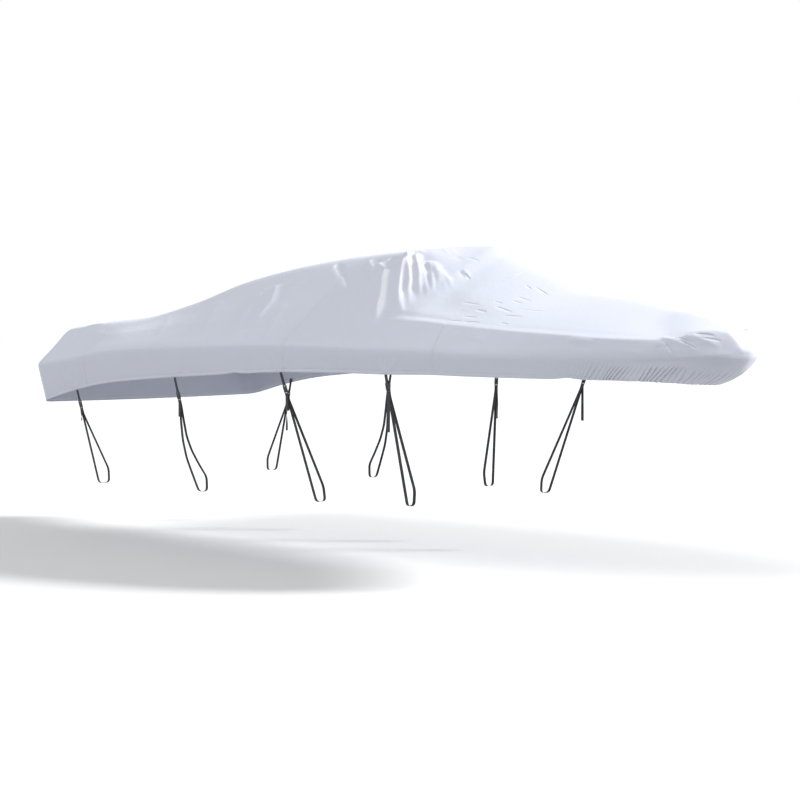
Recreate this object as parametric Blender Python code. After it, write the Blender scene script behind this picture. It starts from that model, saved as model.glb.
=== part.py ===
"""Boat cover, fitted and drawn tight, with its eight tie-down straps.

Frame: metres, +X to the bow, +Y to port, +Z up.  The origin lies under the
cover's peak, on the centreline, against the underside of the cloth.

The cover is cut in four panels, sewn edge to edge at three cross seams.  Its
shape is carried by five lines that run from the stern round to the nose:
spine, shoulder, upper bend, lower bend and hem.  The lower bend is the widest
line.  Each strap has a tab sewn inside the hem, a side-release buckle and a
loop of webbing with a free tail.
"""

import math

import bmesh
import bpy
import numpy as np
from mathutils import Matrix, Vector

# ---------------------------------------------------------------- driving sizes

NOSE_X = 2.314               # foremost point of the cover
STERN_X = -3.543             # aftmost point of the cover
HALF_BREADTH = 1.170         # half of the widest breadth, at the lower bend
ENTRY_LENGTH = 3.30          # length over which the plan narrows to the nose
ENTRY_POWER = 2.3            # how early the narrowing sets in
ENTRY_FULLNESS = 0.62        # under 1 keeps the nose full and round
RUN_LENGTH = 2.50            # length over which the plan narrows to the stern
RUN_POWER = 1.6
STERN_TAPER = 0.022          # share of the half breadth lost by the stern
STERN_BULGE = 0.030          # how far the corners lie forward of the stern's middle
CORNER_RADIUS = 0.100        # stern corners, seen from above
CLOTH = 0.0025               # thickness of the cloth with its coating
GAP = 0.0003                 # clearance between pieces that touch
SEAM_X = (-2.888, -0.703, 0.562)   # the three cross seams

# One row for each section, stern to nose.  x is where the section meets the
# lower bend.  shoulder_k and upper_k are shares of the breadth there, the
# heights are above the origin, and sag is how far the cloth hangs hollow
# between shoulder and upper bend.
SECTION_COLUMNS = (
    "x", "spine_z", "shoulder_k", "shoulder_z", "upper_k", "upper_z", "lower_z", "hem_z", "sag",
)
SECTIONS = (
    (-3.543, -0.520, 0.82, -0.575, 0.91, -0.708, -0.856, -1.151, 0.000),
    (-3.078, -0.488, 0.77, -0.524, 0.88, -0.667, -0.801, -1.046, 0.000),
    (-2.678, -0.462, 0.66, -0.490, 0.83, -0.615, -0.739, -0.986, 0.004),
    (-2.228, -0.342, 0.53, -0.374, 0.81, -0.575, -0.709, -0.946, 0.006),
    (-1.778, -0.184, 0.42, -0.214, 0.80, -0.528, -0.693, -0.916, 0.004),
    (-1.178, -0.074, 0.35, -0.098, 0.80, -0.498, -0.676, -0.883, 0.002),
    (-0.678, -0.018, 0.30, -0.042, 0.80, -0.487, -0.669, -0.861, 0.000),
    (-0.108, 0.008, 0.35, -0.018, 0.82, -0.490, -0.684, -0.858, 0.008),
    (0.222, 0.063, 0.37, -0.146, 0.86, -0.501, -0.689, -0.859, 0.010),
    (0.352, -0.004, 0.45, -0.262, 0.87, -0.506, -0.693, -0.857, 0.010),
    (0.522, -0.086, 0.54, -0.334, 0.88, -0.521, -0.701, -0.856, 0.008),
    (0.782, -0.184, 0.62, -0.416, 0.89, -0.546, -0.719, -0.862, 0.004),
    (1.112, -0.303, 0.62, -0.468, 0.92, -0.573, -0.734, -0.868, 0.000),
    (1.392, -0.339, 0.60, -0.484, 0.94, -0.591, -0.743, -0.872, 0.000),
    (1.702, -0.386, 0.58, -0.507, 0.95, -0.611, -0.747, -0.877, 0.000),
    (1.962, -0.479, 0.55, -0.527, 0.93, -0.615, -0.745, -0.885, 0.000),
    (2.192, -0.516, 0.55, -0.527, 0.91, -0.576, -0.731, -0.901, 0.000),
    (2.314, -0.521, 0.55, -0.531, 0.90, -0.585, -0.713, -0.912, 0.000),
)

LINES = ("spine", "shoulder", "upper", "lower", "hem")
# How far each line ends short of the nose and of the stern, in the order above.
NOSE_SETBACK = (0.420, 0.240, 0.060, 0.000, 0.280)
STERN_SETBACK = (0.550, 0.120, 0.100, 0.000, 0.075)
FAN_LENGTH = 1.000           # the spokes fan out over the last metre of either end
# Bend radius at spine, shoulder, upper and lower bend: soft aft of the peak,
# and drawn sharp over the edges forward of it.
SOFT_BENDS = (0.140, 0.060, 0.090, 0.018)
SHARP_BENDS = (0.140, 0.130, 0.011, 0.018)
CREASE_FROM = -0.050         # the bends sharpen from here
CREASE_OVER = 0.350          # over this length
BEND_SHARE = 0.45            # a bend takes no more than this share of the runs beside it
HEM_TUCK = 0.025             # the hem is drawn in under the lower bend by this much
HEM_TUCK_FADE = 0.300        # and less over this breadth beside the centreline

# Stations along the lower bend and rings from spine to hem.
STERN_STATIONS = 6
CORNER_STATIONS = 3
SIDE_STEP = (0.131, 0.146, 0.035, 0.104)     # spacing along each panel, stern to bow
NOSE_LENGTH = 0.450
NOSE_STATIONS = 8
NOSE_CROWDING = 1.9          # over 1 sets the stations closer together at the nose
RING_STEPS = (4, 6, 3, 3)    # rings between each pair of lines
SPLIT_PREFERENCE = 1.02      # settles which way an even cell is split

# Main folds, as soft ridges (height over 0) or troughs (under 0).  x is along
# the cover, girth is measured down the cloth from the spine, both to the ends
# of the fold.  width is the distance at which it has faded to a third.
FOLD_COLUMNS = ("x_0", "girth_0", "x_1", "girth_1", "width", "height")
STARBOARD_FOLDS = (
    (-0.449, 0.496, -0.269, 0.624, 0.030, 0.009),
    (-0.317, 0.563, 0.007, 1.165, 0.028, 0.012),
    (-0.190, 0.495, 0.118, 1.050, 0.026, 0.014),
    (-0.243, 0.376, 0.180, 0.967, 0.026, 0.012),
    (-0.124, 0.432, 0.200, 0.846, 0.026, 0.012),
    (0.010, 0.495, 0.246, 0.790, 0.026, 0.009),
    (0.050, 0.479, 0.290, 0.700, 0.026, 0.006),
    (-0.909, 0.419, -0.472, 0.798, 0.040, -0.008),
    (-0.402, 0.617, -0.129, 1.048, 0.035, 0.005),
    (-1.367, 0.627, -1.210, 1.209, 0.050, 0.008),
    (-1.312, 0.867, -1.326, 1.105, 0.045, 0.005),
    (0.642, 0.800, 1.072, 0.760, 0.045, 0.006),
    (0.682, 0.230, 0.922, 0.270, 0.045, -0.006),
    (-3.258, 1.060, -3.058, 0.900, 0.045, 0.010),
    (2.022, 0.480, 2.122, 0.600, 0.035, 0.006),
)
FOLD_ENDS = 0.7              # under 1 keeps a fold full for longer towards its ends
PORT_FOLD_SHIFT = 0.045      # the port side repeats these folds, a little further aft
PORT_FOLD_SHARE = 0.8        # and less deep

# Places where the hem rides up a little, on both sides.
HEM_LIFT_X = (-1.208, 1.452)
HEM_LIFT_HEIGHT = 0.010
HEM_LIFT_WIDTH = 0.070

# ---------------------------------------------------------------- strap sizes

WEBBING_WIDTH = 0.0250
WEBBING = 0.0016             # thickness of the webbing
TAB_SEWN = 0.033             # length of the tab that is sewn to the inside of the hem
TAB_CLEAR = 0.0004           # tab to cloth
TAB_DROP = 0.0035            # the tab bends this far under the hem's edge
TAB_TURN = 0.012             # below the hem its two legs have closed up by here
SEWN_RETURN = 0.026          # length of webbing folded back and sewn at a bar

BAR = 0.0032                 # square bars that the webbing turns round
LEG_LEAVES = 0.0022          # a leg leaves its bar this far from the bar's centre
LEG_CLOSES = 0.0090          # and lies against the other leg by here
BACK_RUN_JOINS = 0.0340      # the back run meets the front run this far under the bars
CROSSING = (0.0042, 0.0016)  # where the webbing passes from one bar to the next
TAIL_START = 0.0080          # the tail leaves the webbing this far under the bars

BUCKLE_WIDTH = 0.0340
SOCKET_LENGTH = 0.0420       # from the centre of its bar to its mouth
SOCKET_THICKNESS = 0.0090
SOCKET_EDGE = 0.0016         # bevel
SLOT_HALF = 0.0132           # half width of every slot for the webbing
SLOT_EASE = 0.0030           # room in a slot beyond the webbing
WINDOW_IN = 0.0128           # the side windows reach in to this distance
WINDOW_TOP = -0.0200
WINDOW_HALF = 0.0029         # half height of a window
PLUG_HALF = 0.0160           # half width of the plug's frame
PLUG_THICKNESS = 0.0062
PLUG_EDGE = 0.0010           # bevel
PLUG_SLOT_TOP = -0.0520
ARM_IN = 0.0132              # the spring arms lie between these distances
ARM_OUT = 0.0178
ARM_HALF = 0.0026            # half height of an arm
ARM_TOP = -0.0220
ARM_ROOT = 0.0040            # how far an arm runs into the frame
MIDDLE_BAR = 0.0586          # centres of the plug's bars, from the socket's bar
LOWER_BAR = 0.0680
OVERRUN = 0.0200             # how far a cutter reaches beyond the buckle

LOOP_WIDTH = 0.076           # inside of each loop at its foot
LOOP_HEIGHT = 0.102
LOOP_BEND = 0.008            # radius of the webbing at the corners of the foot
BELLY = ((0.2, 0.55), (0.4, 0.95), (0.6, 0.95), (0.8, 0.50))   # way down, share of the belly
TAIL_STEPS = 6
TAIL_LIFT = 0.02             # least slope at which a tail leaves its strap
TWIST_FROM = 0.15            # a tail turns between this share of its length
TWIST_OVER = 0.70            # and this much further on

# One row for each strap, stern to bow.  hem_x is where it leaves the hem, and
# tab is how far its buckle hangs below.  foot_x, foot_out and foot_z place the
# lower outer corner of the loop, out from the centreline.  belly is how far
# the middle of the strap is pushed outward, loop_spread widens the loop, and
# tail and tail_twist give the length and the turn, in degrees, of the free end.
STRAP_COLUMNS = (
    "name", "hem_x", "tab", "foot_x", "foot_out", "foot_z", "belly", "loop_spread", "tail", "tail_twist",
)
STRAPS = (
    ("1", -3.038, 0.085, -2.968, 0.933, -1.758, 0.000, 0.020, 0.075, 55.0),
    ("2", -1.848, 0.110, -1.818, 0.933, -1.758, 0.050, 0.000, 0.100, 0.0),
    ("3", -0.740, 0.090, -0.604, 0.933, -1.758, 0.000, 0.008, 0.235, 75.0),
    ("4", 0.187, 0.060, 0.084, 0.752, -1.758, 0.000, 0.000, 0.250, 8.0),
)

# ---------------------------------------------------------------- colours

CLOTH_GREY = (0.52, 0.54, 0.60, 1.0)
WEBBING_BLACK = (0.012, 0.012, 0.014, 1.0)
BUCKLE_BLACK = (0.020, 0.023, 0.030, 1.0)


def clear_scene():
    for thing in list(bpy.data.objects):
        bpy.data.objects.remove(thing, do_unlink=True)


def material(name, colour, roughness):
    """A Principled material, made once and shared by the pieces of its kind."""
    made = bpy.data.materials.get(name)
    if made is None:
        made = bpy.data.materials.new(name)
        made.use_nodes = True
        shader = made.node_tree.nodes["Principled BSDF"]
        shader.inputs["Base Color"].default_value = colour
        shader.inputs["Roughness"].default_value = roughness
        shader.inputs["Metallic"].default_value = 0.0
    return made


def make_object(name, mesh, finish):
    thing = bpy.data.objects.new(name, mesh)
    bpy.context.scene.collection.objects.link(thing)
    if not mesh.materials:
        mesh.materials.append(finish)
    return thing


# ---------------------------------------------------------------- the cover's form

CORNER_X = STERN_X + STERN_BULGE + CORNER_RADIUS     # where the stern corners meet the sides


def ease(t):
    """3t^2 - 2t^3, held at 0 and 1 outside its range."""
    t = np.clip(t, 0.0, 1.0)
    return t * t * (3.0 - 2.0 * t)


def half_breadth(x):
    """Breadth of the plan at the lower bend, on one side of the centreline.

    B (1 - (1 - s)^p)^f (1 - c r^q), with s the share of the entry behind the
    nose and r the share of the run towards the stern.
    """
    entry = np.clip((NOSE_X - x) / ENTRY_LENGTH, 0.0, 1.0)
    run = np.clip((NOSE_X - ENTRY_LENGTH - x) / RUN_LENGTH, 0.0, 1.0)
    narrowing = (1.0 - (1.0 - entry) ** ENTRY_POWER) ** ENTRY_FULLNESS
    return HALF_BREADTH * narrowing * (1.0 - STERN_TAPER * run ** RUN_POWER)


def section_value(column, x):
    """Reads one column of SECTIONS at x, along a monotone cubic through its rows."""
    table = np.array(SECTIONS)
    at, value = table[:, 0], table[:, SECTION_COLUMNS.index(column)]
    step = np.diff(at)
    slope = np.diff(value) / step
    before, after = slope[:-1], slope[1:]
    w_before = 2.0 * step[1:] + step[:-1]
    w_after = step[1:] + 2.0 * step[:-1]
    rising = before * after > 0.0
    safe_before = np.where(rising, before, 1.0)
    safe_after = np.where(rising, after, 1.0)
    tangent = np.zeros_like(value)
    tangent[0], tangent[-1] = slope[0], slope[-1]
    mean = (w_before + w_after) / (w_before / safe_before + w_after / safe_after)
    tangent[1:-1] = np.where(rising, mean, 0.0)
    x = np.clip(x, at[0], at[-1])
    i = np.clip(np.searchsorted(at, x) - 1, 0, len(step) - 1)
    t = (x - at[i]) / step[i]
    return (
        value[i] * (1.0 + 2.0 * t) * (1.0 - t) ** 2
        + value[i + 1] * t * t * (3.0 - 2.0 * t)
        + tangent[i] * step[i] * t * (1.0 - t) ** 2
        - tangent[i + 1] * step[i] * t * t * (1.0 - t)
    )


def lower_stations():
    """Points of the lower bend from the middle of the stern round one side to the nose.

    Returns x and the distance out from the centreline.
    """
    flat = half_breadth(np.array([CORNER_X]))[0] - CORNER_RADIUS
    out_stern = np.linspace(0.0, flat, STERN_STATIONS)
    x_stern = STERN_X + STERN_BULGE * (out_stern / flat) ** 2
    angle = np.linspace(0.0, math.pi / 2.0, CORNER_STATIONS + 1)[1:]
    x_corner = CORNER_X - CORNER_RADIUS * np.cos(angle)
    out_corner = flat + CORNER_RADIUS * np.sin(angle)
    x_side = []
    stops = (CORNER_X,) + SEAM_X + (NOSE_X - NOSE_LENGTH,)
    for start, end, step in zip(stops[:-1], stops[1:], SIDE_STEP):
        count = round((end - start) / step)
        x_side.append(np.linspace(start, end, count + 1)[1:])
    closing = np.linspace(1.0, 0.0, NOSE_STATIONS + 1)[1:]
    x_side.append(NOSE_X - NOSE_LENGTH * closing ** NOSE_CROWDING)
    x_side = np.concatenate(x_side)
    x = np.concatenate([x_stern, x_corner, x_side])
    out = np.concatenate([out_stern, out_corner, half_breadth(x_side)])
    out[-1] = 0.0
    return x, out


def carrying_lines(x, out):
    """The five lines at each station, (stations, 5, 3), y positive on either side."""
    nose_share = ease((x - NOSE_X + FAN_LENGTH) / FAN_LENGTH)
    stern_share = 1.0 - ease((x - CORNER_X) / FAN_LENGTH)
    y = {
        "spine": 0.0 * out,
        "shoulder": out * section_value("shoulder_k", x),
        "upper": out * section_value("upper_k", x),
        "lower": out,
        "hem": out - HEM_TUCK * ease(out / HEM_TUCK_FADE),
    }
    lines = []
    for name, nose, stern in zip(LINES, NOSE_SETBACK, STERN_SETBACK):
        line_x = x - nose * nose_share + stern * stern_share
        read_x = line_x if name == "spine" else x
        lines.append(np.stack([line_x, y[name], section_value(name + "_z", read_x)], -1))
    return np.stack(lines, 1)


def spoke_curves(lines, ring, sag, x):
    """Runs each spoke through its five lines, with every bend rounded.

    P(s) = S + d_0 s + sum_k (d_k - d_(k-1)) (q + sqrt(q^2 + r^2)) / 2 with
    q = s - s_k: straight runs d_k, joined by hyperbolas of size r.
    """
    mirrored = lines[:, 1:2] * (1.0, -1.0, 1.0)
    chain = np.concatenate([mirrored, lines], 1)
    run = np.diff(chain, axis=1)
    length = np.linalg.norm(run, axis=2)
    direction = run / length[..., None]
    mark = np.cumsum(length, 1) - length[:, :1]
    k = np.clip(np.floor(ring).astype(int), 0, 3)
    girth = mark[:, k] + (ring - k) * (mark[:, k + 1] - mark[:, k])
    point = lines[:, None, 0] + direction[:, None, 0] * girth[..., None]
    sharp = ease((x - CREASE_FROM) / CREASE_OVER)
    for j, (soft_r, sharp_r) in enumerate(zip(SOFT_BENDS, SHARP_BENDS)):
        radius = soft_r + (sharp_r - soft_r) * sharp
        r = np.minimum(radius, BEND_SHARE * np.minimum(length[:, j], length[:, j + 1]))[:, None]
        q = girth - mark[:, j][:, None]
        ramp = 0.5 * (q + np.sqrt(q * q + r * r))
        point = point + (direction[:, None, j + 1] - direction[:, None, j]) * ramp[..., None]
    hollow = np.where((ring > 1.0) & (ring < 2.0), np.sin(math.pi * (ring - 1.0)) ** 2, 0.0)
    point[..., 2] -= sag[:, None] * hollow
    return point, girth


def normals(grid):
    """Outward unit normals of a (stations, rings, 3) grid that is closed at both ends."""
    padded = np.concatenate([grid[1:2, ::-1], grid, grid[-2:-1, ::-1]], 0)
    along = padded[2:] - padded[:-2]
    across = np.gradient(grid, axis=1)
    normal = np.cross(across, along)
    middle = grid.shape[1] // 2
    normal[[0, -1], middle] = normal[[0, -1], middle + 1]
    return normal / np.linalg.norm(normal, axis=2, keepdims=True)


def fold_height(x, girth, folds, shift, share):
    """Adds up the folds: each is exp(-(d/w)^2) across and fades out at its ends."""
    total = np.zeros_like(girth)
    for row in folds:
        fold = dict(zip(FOLD_COLUMNS, row))
        way = np.array((fold["x_1"] - fold["x_0"], fold["girth_1"] - fold["girth_0"]))
        length = np.linalg.norm(way)
        way = way / length
        dx, dg = x - fold["x_0"] + shift, girth - fold["girth_0"]
        along = (dx * way[0] + dg * way[1]) / length
        across = dx * way[1] - dg * way[0]
        body = np.sin(math.pi * np.clip(along, 0.0, 1.0)) ** FOLD_ENDS
        total += share * fold["height"] * body * np.exp(-((across / fold["width"]) ** 2))
    return total


def cover_grids():
    """Outer and inner grid of the whole cover, (stations, rings over both sides, 3)."""
    x, out = lower_stations()
    lines = carrying_lines(x, out)
    ring = [np.array([0.0])]
    for k, steps in enumerate(RING_STEPS):
        ring.append(k + np.linspace(0.0, 1.0, steps + 1)[1:])
    ring = np.concatenate(ring)
    half, girth = spoke_curves(lines, ring, section_value("sag", x), x)
    lift = sum(np.exp(-(((x - at) / HEM_LIFT_WIDTH) ** 2)) for at in HEM_LIFT_X) * HEM_LIFT_HEIGHT
    half[..., 2] += lift[:, None] * ease(ring - 3.0)
    port = half[:, :0:-1]
    starboard = half * (1.0, -1.0, 1.0)
    outer = np.concatenate([port, starboard], 1)
    station_x = np.repeat(x[:, None], len(ring), 1)
    rise_port = fold_height(station_x, girth, STARBOARD_FOLDS, PORT_FOLD_SHIFT, PORT_FOLD_SHARE)
    rise_starboard = fold_height(station_x, girth, STARBOARD_FOLDS, 0.0, 1.0)
    rise = np.concatenate([rise_port[:, :0:-1], rise_starboard], 1)
    outer = outer + normals(outer) * rise[..., None]
    inner = outer - normals(outer) * CLOTH
    return x, outer, inner


def split_cells(index, corners):
    """Two triangles for each cell of the grid, along the diagonal that leaves neither of them small.

    Both faces of the cloth use them, so that a twisted cell keeps its thickness.
    """
    a, b = index[:-1, :-1].reshape(-1), index[1:, :-1].reshape(-1)
    c, d = index[1:, 1:].reshape(-1), index[:-1, 1:].reshape(-1)
    ways = (np.array(((a, b, c), (a, c, d))), np.array(((a, b, d), (b, c, d))))
    smaller = []
    for way in ways:
        p, q, r = corners[way[:, 0]], corners[way[:, 1]], corners[way[:, 2]]
        smaller.append(np.linalg.norm(np.cross(q - p, r - p), axis=2).min(0))
    chosen = np.where(smaller[0] > SPLIT_PREFERENCE * smaller[1], ways[0], ways[1])
    return chosen.transpose(0, 2, 1).reshape(-1, 3)


def panel_mesh(name, outer, inner, joined_first, joined_last):
    """One panel as a closed solid: outer face, inner face and the rim between them.

    joined_first and joined_last say that the two halves of the first or the
    last station are one edge, on the centreline.
    """
    stations, rings = outer.shape[:2]
    middle = rings // 2
    index = np.arange(stations * rings).reshape(stations, rings)
    if joined_first:
        index[0, middle:] = index[0, middle::-1]
    if joined_last:
        index[-1, middle:] = index[-1, middle::-1]
    corners = np.concatenate([outer.reshape(-1, 3), inner.reshape(-1, 3)])
    under = stations * rings
    triangles = split_cells(index, corners)
    faces = [tuple(face[::-1]) for face in triangles] + [tuple(face + under) for face in triangles]
    rims = [index[:, 0], index[::-1, -1]]
    if not joined_first:
        rims.append(index[0, ::-1])
    if not joined_last:
        rims.append(index[-1])
    for rim in rims:
        for a, b in zip(rim[:-1], rim[1:]):
            faces.append((b, a, a + under, b + under))
    mesh = bpy.data.meshes.new(name)
    mesh.from_pydata(corners.tolist(), [], [tuple(int(i) for i in face) for face in faces])
    shape = bmesh.new()
    shape.from_mesh(mesh)
    loose = [vertex for vertex in shape.verts if not vertex.link_faces]
    bmesh.ops.delete(shape, geom=loose, context="VERTS")
    bmesh.ops.recalc_face_normals(shape, faces=shape.faces)
    shape.to_mesh(mesh)
    shape.free()
    mesh.shade_smooth()
    mesh.set_sharp_from_angle(angle=math.radians(50.0))
    return mesh


PANELS = ("stern_panel", "aft_panel", "peak_panel", "bow_panel")


def build_cover():
    x, outer, inner = cover_grids()
    cuts = [0] + [int(np.argmin(np.abs(x - seam))) for seam in SEAM_X] + [len(x) - 1]
    finish = material("cover_cloth", CLOTH_GREY, 0.65)
    for number, name in enumerate(PANELS):
        first, last = cuts[number], cuts[number + 1]
        grids = []
        for grid in (outer, inner):
            part = grid[first:last + 1].copy()
            if number > 0:
                part[0, :, 0] += GAP / 2.0
            if number < len(PANELS) - 1:
                part[-1, :, 0] -= GAP / 2.0
            grids.append(part)
        mesh = panel_mesh(name, grids[0], grids[1], number == 0, number == len(PANELS) - 1)
        make_object(name, mesh, finish)


# ---------------------------------------------------------------- straps


def unit(vector):
    return vector / np.linalg.norm(vector)


def hem_inside(x):
    """The inner edge of the starboard hem at x, with the cloth's outward and upward ways."""
    near = x + np.array((-0.02, 0.0, 0.02))
    ring = np.array((3.4, 4.0))
    skirt, girth = spoke_curves(carrying_lines(near, half_breadth(near)), ring, 0.0 * near, near)
    skirt = skirt * (1.0, -1.0, 1.0)
    upward = unit(skirt[1, 0] - skirt[1, 1])
    along = unit(skirt[2, 1] - skirt[0, 1])
    outward = unit(np.cross(along, upward))
    return skirt[1, 1] - outward * CLOTH, outward, upward


def strap_frame(strap):
    """Where a starboard strap starts, its ways across, down and out, and the cloth's upward."""
    edge, outward, upward = hem_inside(strap["hem_x"])
    origin = edge - outward * (TAB_CLEAR + WEBBING / 2.0) - upward * TAB_DROP
    foot = np.array((strap["foot_x"], -strap["foot_out"], strap["foot_z"]))
    down = unit(foot - origin)
    across = unit(np.cross(outward, down))
    out = np.cross(down, across)
    return origin, across, down, out, upward


def rounded(points, radius, corners):
    """Replaces each named corner of a path by three points of an arc-like bend."""
    path = []
    for number, point in enumerate(points):
        if number not in corners:
            path.append(point)
            continue
        to_last = unit(points[number - 1] - point)
        to_next = unit(points[number + 1] - point)
        a, b = point + to_last * radius, point + to_next * radius
        path += [a, 0.25 * a + 0.25 * b + 0.5 * point, b]
    return path


def ribbon_mesh(name, path, origin, across, down, out, drift, turn):
    """Webbing along a path of (down, out) points, as one closed solid.

    drift moves each point across, and turn twists its width about the path.
    """
    path = np.array(path)
    step = np.diff(path, axis=0)
    step = step / np.linalg.norm(step, axis=1, keepdims=True)
    before = np.concatenate([step[:1], step])
    after = np.concatenate([step, step[-1:]])
    tangent = before + after
    tangent = tangent / np.linalg.norm(tangent, axis=1, keepdims=True)
    stretch = 1.0 / np.clip((tangent * after).sum(1), 0.5, 1.0)
    normal = np.stack([-tangent[:, 1], tangent[:, 0]], 1)
    centre = origin + path[:, :1] * down + path[:, 1:] * out + np.array(drift)[:, None] * across
    thick = (normal[:, :1] * down + normal[:, 1:] * out) * (stretch * WEBBING / 2.0)[:, None]
    angle = np.radians(np.array(turn))[:, None]
    wide = np.repeat(across[None] * WEBBING_WIDTH / 2.0, len(path), 0)
    size_wide, size_thick = WEBBING_WIDTH / 2.0, np.linalg.norm(thick, axis=1, keepdims=True)
    wide_turned = wide * np.cos(angle) + thick / size_thick * size_wide * np.sin(angle)
    thick_turned = thick * np.cos(angle) - across * size_thick * np.sin(angle)
    sides = (wide_turned + thick_turned, wide_turned - thick_turned)
    corners = np.stack([centre + sides[0], centre + sides[1], centre - sides[0], centre - sides[1]], 1)
    count = len(path)
    faces = [(0, 1, 2, 3), tuple(4 * count - 4 + i for i in (3, 2, 1, 0))]
    for row in range(count - 1):
        for i in range(4):
            j = (i + 1) % 4
            faces.append((4 * row + i, 4 * row + 4 + i, 4 * row + 4 + j, 4 * row + j))
    mesh = bpy.data.meshes.new(name)
    mesh.from_pydata(corners.reshape(-1, 3).tolist(), [], faces)
    shape = bmesh.new()
    shape.from_mesh(mesh)
    bmesh.ops.recalc_face_normals(shape, faces=shape.faces)
    shape.to_mesh(mesh)
    shape.free()
    return mesh


# Webbing round a square bar: its middle stays this far from the bar's centre,
# and its two legs close up to this far either side of the middle line.
AT_BAR = BAR / 2.0 + GAP + WEBBING / 2.0
CLOSED_UP = (WEBBING + GAP) / 2.0
OUTSIDE = AT_BAR + WEBBING + 2.0 * GAP       # clear of webbing that turns round a bar


def tab_path(strap, upward, down, out):
    """From inside the hem down to the socket's bar, round it and back up."""
    sewn = np.array((upward @ down, upward @ out)) * (TAB_SEWN + TAB_DROP)
    bar = strap["tab"]
    points = (
        sewn,
        (0.0, 0.0),
        (TAB_TURN, CLOSED_UP),
        (bar - LEG_CLOSES, CLOSED_UP),
        (bar - LEG_LEAVES, AT_BAR),
        (bar + AT_BAR, AT_BAR),
        (bar + AT_BAR, -AT_BAR),
        (bar - LEG_LEAVES, -AT_BAR),
        (bar - LEG_CLOSES, -CLOSED_UP),
        (bar - SEWN_RETURN, -CLOSED_UP),
    )
    return [np.array(point) for point in points]


def loop_path(strap, origin, down, out):
    """From the sewn end, down the front run, round the foot and back up to the tail."""
    lower = strap["tab"] + LOWER_BAR
    middle = strap["tab"] + MIDDLE_BAR

    def local(distance_out, z):
        point = np.array((strap["foot_x"], -distance_out, z)) - origin
        return np.array((point @ down, point @ out))

    def run(start, end):
        belly = np.array((0.0, strap["belly"]))
        return [start + (end - start) * way + belly * share for way, share in BELLY]

    foot_z = strap["foot_z"]
    inner_out = strap["foot_out"] - LOOP_WIDTH - strap["loop_spread"]
    front_foot = local(strap["foot_out"], foot_z)
    back_foot = local(inner_out, foot_z)
    back_top = local(inner_out, foot_z + LOOP_HEIGHT)
    front_start = np.array((lower + LEG_CLOSES, CLOSED_UP))
    back_end = np.array((lower + BACK_RUN_JOINS, -OUTSIDE))
    turn_low, turn_high = CROSSING
    points = [
        (lower + SEWN_RETURN, -CLOSED_UP),
        (lower + LEG_CLOSES, -CLOSED_UP),
        (lower + LEG_LEAVES, -AT_BAR),
        (lower - AT_BAR, -AT_BAR),
        (lower - AT_BAR, AT_BAR),
        (lower + LEG_LEAVES, AT_BAR),
        front_start,
        *run(front_start, front_foot),
        front_foot,
        back_foot,
        back_top,
        *run(back_top, back_end),
        back_end,
        (lower - turn_low, -OUTSIDE),
        (middle + turn_high, -AT_BAR),
        (middle - AT_BAR, -AT_BAR),
        (middle - AT_BAR, AT_BAR),
        (middle + turn_high, AT_BAR),
        (lower - turn_low, OUTSIDE),
        (lower + TAIL_START, OUTSIDE),
    ]
    first = 7 + len(BELLY)
    return rounded([np.array(point) for point in points], LOOP_BEND, (first, first + 1, first + 2))


def with_tail(strap, path, across, down, out):
    """Adds the free end, which hangs plumb, and says how each point drifts and turns."""
    plumb = np.array((0.0, 0.0, -1.0))
    fall = np.array((plumb @ down, max(plumb @ out, TAIL_LIFT)))
    sideways = plumb @ across
    start = path[-1]
    drift, turn = [0.0] * len(path), [0.0] * len(path)
    for step in range(1, TAIL_STEPS + 1):
        t = step / TAIL_STEPS
        path.append(start + fall * strap["tail"] * t)
        drift.append(sideways * strap["tail"] * t)
        turn.append(strap["tail_twist"] * float(ease((t - TWIST_FROM) / TWIST_OVER)))
    return path, drift, turn


def mirrored_copy(mesh, name):
    """The same mesh on the port side."""
    copy = mesh.copy()
    copy.name = name
    copy.transform(Matrix.Scale(-1.0, 4, Vector((0.0, 1.0, 0.0))))
    copy.flip_normals()
    return copy


def block(name, low, high):
    """A box between two corners, in buckle axes: across, out, up."""
    mesh = bpy.data.meshes.new(name)
    shape = bmesh.new()
    bmesh.ops.create_cube(shape, size=1.0)
    low, high = Vector(low), Vector(high)
    for vertex in shape.verts:
        share = vertex.co + Vector((0.5, 0.5, 0.5))
        vertex.co = Vector([low[i] + (high[i] - low[i]) * share[i] for i in range(3)])
    shape.to_mesh(mesh)
    shape.free()
    thing = bpy.data.objects.new(name, mesh)
    bpy.context.scene.collection.objects.link(thing)
    return thing


def carve(body, cutters, additions, bevel):
    """Bevels a body, joins the additions, takes the cutters away, and returns the mesh."""
    edge = body.modifiers.new("edges", "BEVEL")
    edge.width = bevel
    edge.segments = 1
    for operation, tools in (("UNION", additions), ("DIFFERENCE", cutters)):
        for tool in tools:
            tool.hide_render = True
            tool.display_type = "WIRE"
            change = body.modifiers.new(tool.name, "BOOLEAN")
            change.operation = operation
            change.solver = "EXACT"
            change.object = tool
    view = bpy.context.evaluated_depsgraph_get()
    mesh = bpy.data.meshes.new_from_object(body.evaluated_get(view))
    for thing in [body, *cutters, *additions]:
        bpy.data.objects.remove(thing, do_unlink=True)
    return mesh


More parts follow.
